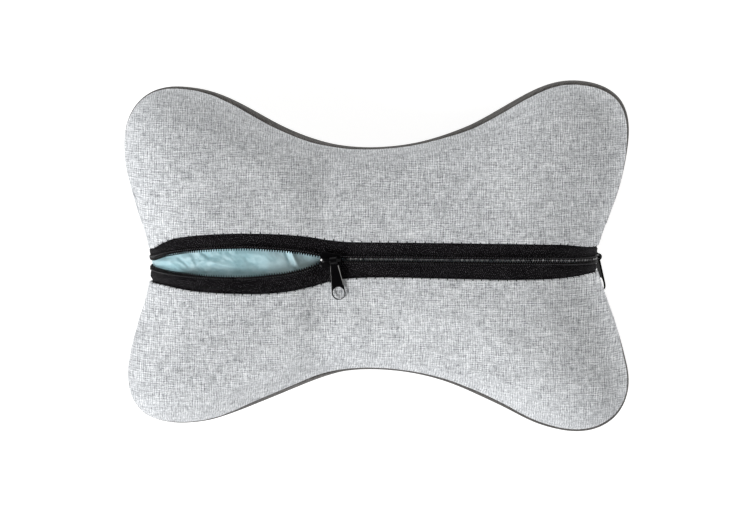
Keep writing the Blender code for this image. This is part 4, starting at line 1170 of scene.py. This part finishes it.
def coil(name, side):
    """One row of nylon coil: flat loops, head towards the middle, sewn at the outside."""
    # across (0 = row's inner limit), height over the cover, step along the zip within one pitch
    loop = [(2.18, -1.18, -0.10), (1.5, -1.24, -0.04), (0.75, -1.22, 0.0), (0.25, -1.12, 0.0), (-0.18, -0.86, 0.0),
            (-0.36, -0.50, 0.0), (-0.24, -0.06, 0.04), (0.22, 0.27, 0.14), (0.85, 0.34, 0.32), (1.45, 0.22, 0.50),
            (1.96, -0.02, 0.66), (2.22, -0.38, 0.84), (2.28, -0.80, 1.10)]
    first, last = 3.8, ZIP.length - 4.6
    count = int((last - first) / PITCH)
    aa, yy, hh = [], [], []
    for i in range(count):
        base = first + i * PITCH + (0.5 * PITCH if side > 0 else 0.0)
        for y, h, da in loop:
            aa.append(base + da * (PITCH / 1.4))
            yy.append(y)
            hh.append(h)
    aa = np.clip(np.array(aa), 0.5, ZIP.length - 0.5)
    yy, hh = np.array(yy), np.array(hh)
    head = zip_mid(aa) + side * (zip_gap(aa) + COIL_INNER)
    path = ZIP.lift(aa, head + side * yy, hh + coil_rise(aa))
    up = ZIP.frame(aa, zip_mid(aa))[1]
    v, f = tube(path, 0.27, 7, up=up)
    # which loops get a painted highlight in the shader, standing in for glints: their heads where the zip is closed,
    # and their outer shoulders along the open mouth
    painted_glint_choice = np.where(aa > A_MAIN + 7.0, yy + 2.0 * (side < 0), np.where(np.abs(yy - 1.45) < 0.42, 0.965, 3.0))
    painted_glint_choice = np.where((np.abs(aa - A_MAIN - 1.0) < 9.0) | (aa > ZIP.a_right - 3.0) | (aa < ZIP.a_left + 4.0), 3.0, painted_glint_choice)
    # painted highlight: every other loop, and a few at random, get only a weaker one, so the glints read as dots
    luck = np.repeat([hashed(i, 7 + side) for i in range(count)], len(loop))
    other = np.repeat(np.arange(count) % 2 == 1, len(loop))
    painted_glint_choice = np.where(other | (luck < 0.12), np.maximum(painted_glint_choice, 0.975), painted_glint_choice)
    weave = np.repeat(np.stack([aa, painted_glint_choice, hh], 1), 7, 0)
    return mesh_object(name, v, f, COIL, attrs={"weave": weave})


def stitches(name, mat, placed):
    """Short stitches: each goes down into the cloth at both ends. placed = list of point lists."""
    parts = []
    for path, r in placed:
        v, f = tube(path, r, 5)
        s = np.repeat(np.arange(len(path)) * 0.12, 5)
        parts.append((v, f, np.stack([s, 0 * s, 0 * s], 1)))
    v, f, w = join(parts)
    return mesh_object(name, v, f, mat, attrs={"weave": w})


def coil_sewing(side):
    """Lockstitch that holds the coil on its tape: one slanted stitch over every loop."""
    out = []
    count = int((ZIP.length - 8.0) / PITCH)
    for i in range(count):
        a0 = 4.0 + i * PITCH + (0.5 * PITCH if side > 0 else 0.0)
        a = a0 + np.array([0.0, 0.1, 0.45, 0.85, 1.1, 1.2]) * 0.5
        y = np.array([1.55, 1.6, 1.72, 1.86, 1.95, 2.0])
        h = np.array([-0.5, 0.28, 0.60, 0.58, 0.20, -0.6])
        mid = zip_mid(a) + side * (zip_gap(a) + COIL_INNER)
        out.append((ZIP.lift(a, mid + side * y, h + coil_rise(a)), 0.15))
    return out


def edge_ticks(side):
    """The stitches that sew each panel's folded edge to the tape, each a small dark bead of
    thread pulled into the fold."""
    out = []
    a = ZIP.a_left + 17.0
    i = 0
    while a < ZIP.a_right - 12.0:
        e = float(edge_of(a, side))
        lean = 0.30 * (hashed(i, 3 + side) - 0.5)
        reach = 0.10 + 0.45 * hashed(i, 9 + side) ** 1.5
        y = e + side * np.array([-0.65, -0.25, 0.0, 0.25, 0.30 + reach, 0.38 + reach])
        h = np.array([-2.2, -1.5, -0.75, -0.12, 0.02, -0.5])
        aa = a + lean * np.linspace(-1, 1, 6) + 0.15
        out.append((ZIP.lift(aa, y, h), 0.33))
        a += 5.35 + 0.8 * (hashed(i, 1 + side) - 0.5)
        i += 1
    return out


for side, word in ((1, "upper"), (-1, "lower")):
    t = tape("woven_tape_" + word, side)
    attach(t, "root")
    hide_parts("zip_tape_" + word)
    c = coil("nylon_coil_" + word, side)
    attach(c, "root")
    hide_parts("zip_coil_" + word)
    sew = stitches("coil_sewing_" + word, SEWING_THREAD, coil_sewing(side))
    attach(sew, "root")
    ticks = stitches("edge_stitches_" + word, BLACK_THREAD, edge_ticks(side))
    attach(ticks, "root")


# ---------------------------------------------------------------- inner cushion
def form_grid(n, rows_top, rows_bottom):
    rim, spine = meridians(n)
    m = len(rim)
    verts, faces, index = [], [], {}

    def put(key, xyz):
        if key not in index:
            index[key] = len(verts)
            verts.append(xyz)
        return index[key]

    rows = ([(1, math.sin(0.5 * math.pi * i / rows_top)) for i in range(rows_top)] + [(0, 1.0)]
            + [(-1, math.sin(0.5 * math.pi * i / rows_bottom)) for i in range(rows_bottom - 1, -1, -1)])
    grid = []
    for side, s in rows:
        p = spine + (rim - spine) * s
        sw = swell(p)
        z = top_of(p[:, 0], sw) if side > 0 else bottom_of(sw) if side < 0 else np.full(m, RIM_Z)
        line = []
        for k in range(m):
            if s == 0.0:
                kk = min(k, (2 * n - k) % (2 * n))
                line.append(put((side, kk), (p[kk, 0], p[kk, 1], z[kk])))
            else:
                line.append(put((side, round(s, 6), k), (p[k, 0], p[k, 1], z[k])))
        grid.append(line)
    for a, b in zip(grid[:-1], grid[1:]):
        for k in range(m):
            j = (k + 1) % m
            f = [a[k], b[k], b[j], a[j]]
            f = [v for i, v in enumerate(f) if v not in f[:i]]
            if len(f) > 2:
                faces.append(f)
    return np.array(verts), faces


def vertex_normals(verts, faces):
    nrm = np.zeros_like(verts)
    for f in faces:
        w = np.cross(verts[f[1]] - verts[f[0]], verts[f[2]] - verts[f[0]])
        if len(f) == 4:
            w = np.cross(verts[f[2]] - verts[f[0]], verts[f[3]] - verts[f[1]])
        for v in f:
            nrm[v] += w
    return nrm / np.maximum(np.linalg.norm(nrm, axis=1), 1e-9)[:, None]


# Folds of the slack aqua fabric in the mouth: from, to, height, half width, in plan
FOLDS = [
    ((-50.0, 6.8), (-44.2, -7.0), 1.9, 1.6),
    ((-52.6, 6.0), (-48.6, -6.0), -1.4, 1.5),
    ((-43.0, 5.0), (-38.8, -6.5), -0.5, 2.4),
    ((-63.5, 8.0), (-61.0, -9.0), 1.3, 5.5),
    ((-117.0, 1.0), (-109.5, -5.5), -0.8, 1.0),
    ((-122.0, -1.5), (-112.5, -7.5), 0.9, 1.3),
    ((-110.0, 3.0), (-103.0, -8.0), 0.8, 1.6),
    ((-106.0, -4.0), (-100.0, -9.5), -1.1, 1.3),
    ((-104.0, 5.0), (-97.0, 0.5), -0.9, 1.5),
    ((-99.0, -1.0), (-74.0, -5.0), 0.6, 1.8),
    ((-97.0, -4.5), (-78.0, -8.0), -0.6, 1.4),
    ((-84.0, 5.5), (-58.0, 1.5), 0.7, 2.6),
    ((-76.0, -1.0), (-66.0, -6.0), -0.5, 2.0),
    ((-126.0, 2.5), (-117.0, 4.0), 0.7, 1.2),
]


def bag_depth(x, y, z):
    """How far the bag lies under the cover's outer face: pressed down under the zip, less so
    at the -X end, where it fills the open mouth up to the seam."""
    mid = through(ZIP_MID, x)
    band = (1.0 - smooth(14.0, 34.0, np.abs(y - mid))) * (z > RIM_Z - 45)
    upper = smooth(RIM_Z - ZIP_END_DROP - 10, RIM_Z - ZIP_END_DROP + 4, z)
    mouth = (1.0 - smooth(4.0, 12.0, np.abs(y - mid))) * smooth(-136, -126, x) * (1 - smooth(-44, -30, x))
    depth = (COVER_THICK + CUSHION_GAP + BAND_DEPTH * band * upper
             + MOUTH_DEPTH * mouth * smooth(RIM_Z, RIM_Z + 20, z))
    near = (1 - smooth(-122, -108, x)) * (1 - smooth(7.0, 15.0, np.abs(y - mid))) * smooth(16, 28, z)
    return depth + (3.15 - left_push(x, y, z) - depth) * near


def left_push(x, y, z):
    """How far the bag pushes out through the mouth's -X end."""
    rise = end_rise(ZIP.a_of_x(np.minimum(x, -100.0))) * smooth(30, 42, z)
    gap = (1 - smooth(0.8, 4.6, np.abs(y - through(ZIP_MID, x)))) * (1 - smooth(-130, -112, x)) * smooth(20, 33, z)
    return rise + 2.1 * gap


def cushion():
    v, f = form_grid(150, 46, 22)
    n = vertex_normals(v, f)
    if ((n * (v - v.mean(0))).sum(1)).mean() < 0:
        n = -n
    q = v - n * bag_depth(*v.T)[:, None]
    low = COVER_THICK + CUSHION_GAP
    q[:, 2] = np.maximum(q[:, 2], low)
    me = bpy.data.meshes.new("cushion")
    me.from_pydata((q * MM).tolist(), [], [list(map(int, g)) for g in f])
    bm = bmesh.new()
    bm.from_mesh(me)
    bmesh.ops.recalc_face_normals(bm, faces=bm.faces)
    for cuts in (1, 1):
        region = set()
        for g in bm.faces:
            c = g.calc_center_median() / MM
            m = float(through(ZIP_MID, c.x))
            if -139 < c.x < -24 and abs(c.y - m) < 15 and c.z > RIM_Z - 12:
                region.update(g.edges)
        bmesh.ops.subdivide_edges(bm, edges=list(region), cuts=cuts, use_grid_fill=True, smooth=0.0)
    bm.to_mesh(me)
    bm.free()
    count = len(me.vertices)
    co = np.zeros(count * 3)
    me.vertices.foreach_get("co", co)
    co = co.reshape(-1, 3) / MM
    nr = np.zeros(count * 3)
    me.vertex_normals.foreach_get("vector", nr) if hasattr(me, "vertex_normals") else me.vertices.foreach_get("normal", nr)
    nr = nr.reshape(-1, 3)
    x, y, z = co.T
    mid = through(ZIP_MID, x)
    mouth = (1.0 - smooth(9.0, 15.0, np.abs(y - mid))) * smooth(-139, -130, x) * (1 - smooth(-36, -27, x)) * (z > RIM_Z - 10)
    h = np.zeros(count)
    for (x0, y0), (x1, y1), height, half in FOLDS:
        d = np.array([x1 - x0, y1 - y0])
        L = np.linalg.norm(d)
        d /= L
        s = (x - x0) * d[0] + (y - y0) * d[1]
        bend = 0.5 * np.sin(np.clip(s / L, 0, 1) * math.pi) * math.copysign(1, height)
        w = -(x - x0) * d[1] + (y - y0) * d[0] + bend
        lengthwise = smooth(-1.5, 2.5, s) * (1 - smooth(L - 2.5, L + 1.5, s))
        ridge = np.exp(-np.abs(w / half) ** 1.6) if height > 0 else np.exp(-(w / half) ** 2)
        h += height * ridge * lengthwise
    h += 0.35 * wander2(x, y, 5.0, 4) + 0.22 * wander2(x + 3, y * 1.4, 2.4, 8) + 0.10 * wander2(x, y, 1.2, 12)
    h -= 0.4
    h = np.clip(h, -1.6, 1.9) * mouth
    under = np.where(np.abs(y - mid) > through(ZIP_GAP, x) - 0.8, 3.15, 2.4) - left_push(x, y, z)
    h = np.where(z > RIM_Z - 10, np.minimum(h, bag_depth(x, y, z + 4) - under), h)
    # elsewhere the bag has soft dents, kept under the lining
    soft = 0.7 * wander2(x, y + 0.3 * z, 17.0, 21) + 0.4 * wander2(x + 0.2 * z, y, 8.0, 25)
    h += (soft - 0.9) * (1 - mouth) * smooth(low + 1.0, low + 6.0, z)
    co = co + nr * h[:, None]
    co[:, 2] = np.maximum(co[:, 2], low)
    me.vertices.foreach_set("co", (co * MM).ravel())
    at = me.attributes.new("weave", 'FLOAT_VECTOR', 'POINT')
    wv = np.stack([x, y + 0.8 * (RIM_Z + 40 - z) * np.sign(y - mid) * (np.abs(y - mid) > 20), z], 1)
    at.data.foreach_set("vector", wv.astype(np.float32).ravel())
    me.shade_smooth()
    me.materials.append(SATIN)
    me.update()
    ob = link(bpy.data.objects.new("aqua_inner_cushion", me))
    return ob


CUSHION = cushion()
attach(CUSHION, "root")
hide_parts("inner_cushion")

# ---------------------------------------------------------------- sliders and tabs, cast and lacquered
def cast_part(name, node, body, voxel, passes, frame, dome, paint):
    """The part's exact form with the soft edges of a casting; a slider's roof is domed."""
    src = NODES[node]
    me = src.data.copy()
    me.transform(src.matrix_world)
    me.transform(Matrix.Scale(1000.0, 4))
    bm = bmesh.new()
    bm.from_mesh(me)
    bmesh.ops.remove_doubles(bm, verts=bm.verts, dist=0.002)
    bm.to_mesh(me)
    bm.free()
    ob = link(bpy.data.objects.new("casting", me))
    m = ob.modifiers.new("grain", 'REMESH')
    m.mode = 'VOXEL'
    m.voxel_size = voxel
    m.adaptivity = 0.0
    m = ob.modifiers.new("soften", 'SMOOTH')
    m.factor = 0.5
    m.iterations = passes
    ev = ob.evaluated_get(bpy.context.evaluated_depsgraph_get())
    out = bpy.data.meshes.new_from_object(ev)
    verts = np.zeros(len(out.vertices) * 3)
    out.vertices.foreach_get("co", verts)
    verts = verts.reshape(-1, 3)
    faces = [tuple(f.vertices) for f in out.polygons]
    bpy.data.objects.remove(ob, do_unlink=True)
    bpy.data.meshes.remove(me)
    bpy.data.meshes.remove(out)
    o, t, b, n = (np.asarray(q, float) for q in frame)
    q = verts - o
    u, v, w = q @ t, q @ b, q @ n
    if dome:
        crown = 0.60 * np.clip(1 - (v / 4.9) ** 2, 0, 1) * np.clip(1 - (u / 6.6) ** 2, 0, 1)
        verts = verts + n * (crown * smooth(1.2, 1.9, w) * (1 - smooth(2.2, 4.0, w)))[:, None]
    piece = mesh_object(name, verts, faces, paint,
                        attrs={"weave": np.stack([u, v, w], 1)})
    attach(piece, body)
    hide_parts(node)
    return piece


def tab_frame(frame, eye, droop, skew):
    """A pull tab's own directions: down the tab, across it, and out of its outer face."""
    o, t, b, n = frame
    k, d = math.radians(skew), math.radians(droop)
    forward = (-b * math.cos(k) + t * math.sin(k)) * math.cos(d) - n * math.sin(d)
    across = t * math.cos(k) + b * math.sin(k)
    return o + t * eye + n * CROWN_Z, forward, across, np.cross(forward, across)


MAIN_AXES = ZIP.frame(A_MAIN, zip_mid(A_MAIN))
_p, _t, _b, _n = END_AXES = ZIP.frame(A_SIDE, zip_mid(A_SIDE))
cast_part("lacquered_slider", "zip_slider", "root", 0.15, 8, MAIN_AXES, True, LACQUER)
cast_part("lacquered_end_slider", "side_slider", "root", 0.15, 8, (_p, -_t, -_b, _n), True, DULL_LACQUER)
cast_part("lacquered_pull_tab", "zip_pull_tab", "pull_tab", 0.13, 6,
          tab_frame(MAIN_AXES, SLIDER_HALF - 3.9, MAIN_DROOP, TAB_SKEW), False, TAB_LACQUER)
cast_part("lacquered_end_pull_tab", "side_pull_tab", "side_pull_tab", 0.13, 6,
          tab_frame(END_AXES, SIDE_EYE, SIDE_DROOP, SIDE_TAB_SKEW), False, DULL_LACQUER)

# ---------------------------------------------------------------- floor, light and camera
floor_mesh = bpy.data.meshes.new("floor")
floor_mesh.from_pydata([(-8, -8, -0.0004), (8, -8, -0.0004), (8, 8, -0.0004), (-8, 8, -0.0004)], [], [(0, 1, 2, 3)])
FLOOR = link(bpy.data.objects.new("floor", floor_mesh))
fs = Shader("pale_floor")
grainy = fs.noise(fs.node("ShaderNodeTexCoord").outputs["Object"], scale=3.0, detail=1.0)
floor_mesh.materials.append(fs.finish(fs.ramp(grainy, [(0.0, (0.44, 0.44, 0.44)), (1.0, (0.46, 0.46, 0.46))]), 0.9,
                                      Emission_Color=(1.0, 1.0, 1.0, 1.0), Emission_Strength=0.86))

TARGET = Vector((-1.04, -2.08, RIM_Z)) * MM


def area_light(name, azimuth, elevation, distance, size, power, color=(1, 1, 1)):
    light = bpy.data.lights.new(name, 'AREA')
    light.shape = 'DISK'
    light.size = size
    light.energy = power
    light.color = color
    ob = link(bpy.data.objects.new(name, light))
    az, el = math.radians(azimuth), math.radians(elevation)
    d = Vector((math.cos(az) * math.cos(el), math.sin(az) * math.cos(el), math.sin(el)))
    ob.location = TARGET + d * distance
    ob.rotation_euler = (-d).to_track_quat('-Z', 'Y').to_euler()
    return ob


area_light("key", 215, 44, 1.8, 0.8, 26.0, (0.99, 0.995, 1.0))
area_light("fill", 35, 55, 2.2, 1.2, 4.8, (1.0, 0.92, 0.80))

# a white tent with a darker opening above, a little brighter on the +X and +Y sides
world = bpy.data.worlds.new("studio")
bpy.context.scene.world = world
world.use_nodes = True
wt = world.node_tree
bg = wt.nodes["Background"]


def world_node(kind, *inputs, **values):
    n = wt.nodes.new(kind)
    for k, v in values.items():
        setattr(n, k, v)
    for i, v in enumerate(inputs):
        if isinstance(v, bpy.types.NodeSocket):
            wt.links.new(v, n.inputs[i])
        elif v is not None:
            n.inputs[i].default_value = v
    return n


toward = world_node("ShaderNodeSeparateXYZ", world_node("ShaderNodeTexCoord").outputs["Generated"])
tent = world_node("ShaderNodeMapRange", toward.outputs[2], 0.22, 0.86, 0.99, 0.08, interpolation_type='SMOOTHSTEP')
lean = world_node("ShaderNodeMath", toward.outputs[0], 0.26, 1.0, operation='MULTIPLY_ADD')
lean = world_node("ShaderNodeMath", toward.outputs[1], 0.14, lean.outputs[0], operation='MULTIPLY_ADD')
level = world_node("ShaderNodeMath", tent.outputs[0], lean.outputs[0], operation='MULTIPLY')
bg.inputs[0].default_value = (0.97, 0.985, 1.0, 1.0)
wt.links.new(level.outputs[0], bg.inputs[1])

cam_data = bpy.data.cameras.new("camera")
camera = link(bpy.data.objects.new("camera", cam_data))
DISTANCE = 5.0
cam_data.sensor_width = 36.0
cam_data.lens = 36.0 * DISTANCE / (750 * 0.595 * MM)
cam_data.clip_end = 50.0
view = Vector((math.tan(math.radians(2.0)), math.tan(math.radians(3.75)), 1.0)).normalized()
camera.location = TARGET + view * DISTANCE
right = Vector((0, 1, 0)).cross(view).normalized()
up = view.cross(right).normalized()
camera.rotation_euler = Matrix((right, up, view)).transposed().to_euler()
bpy.context.scene.camera = camera
bpy.context.scene.view_settings.view_transform = 'Standard'
bpy.context.scene.view_settings.look = 'None'
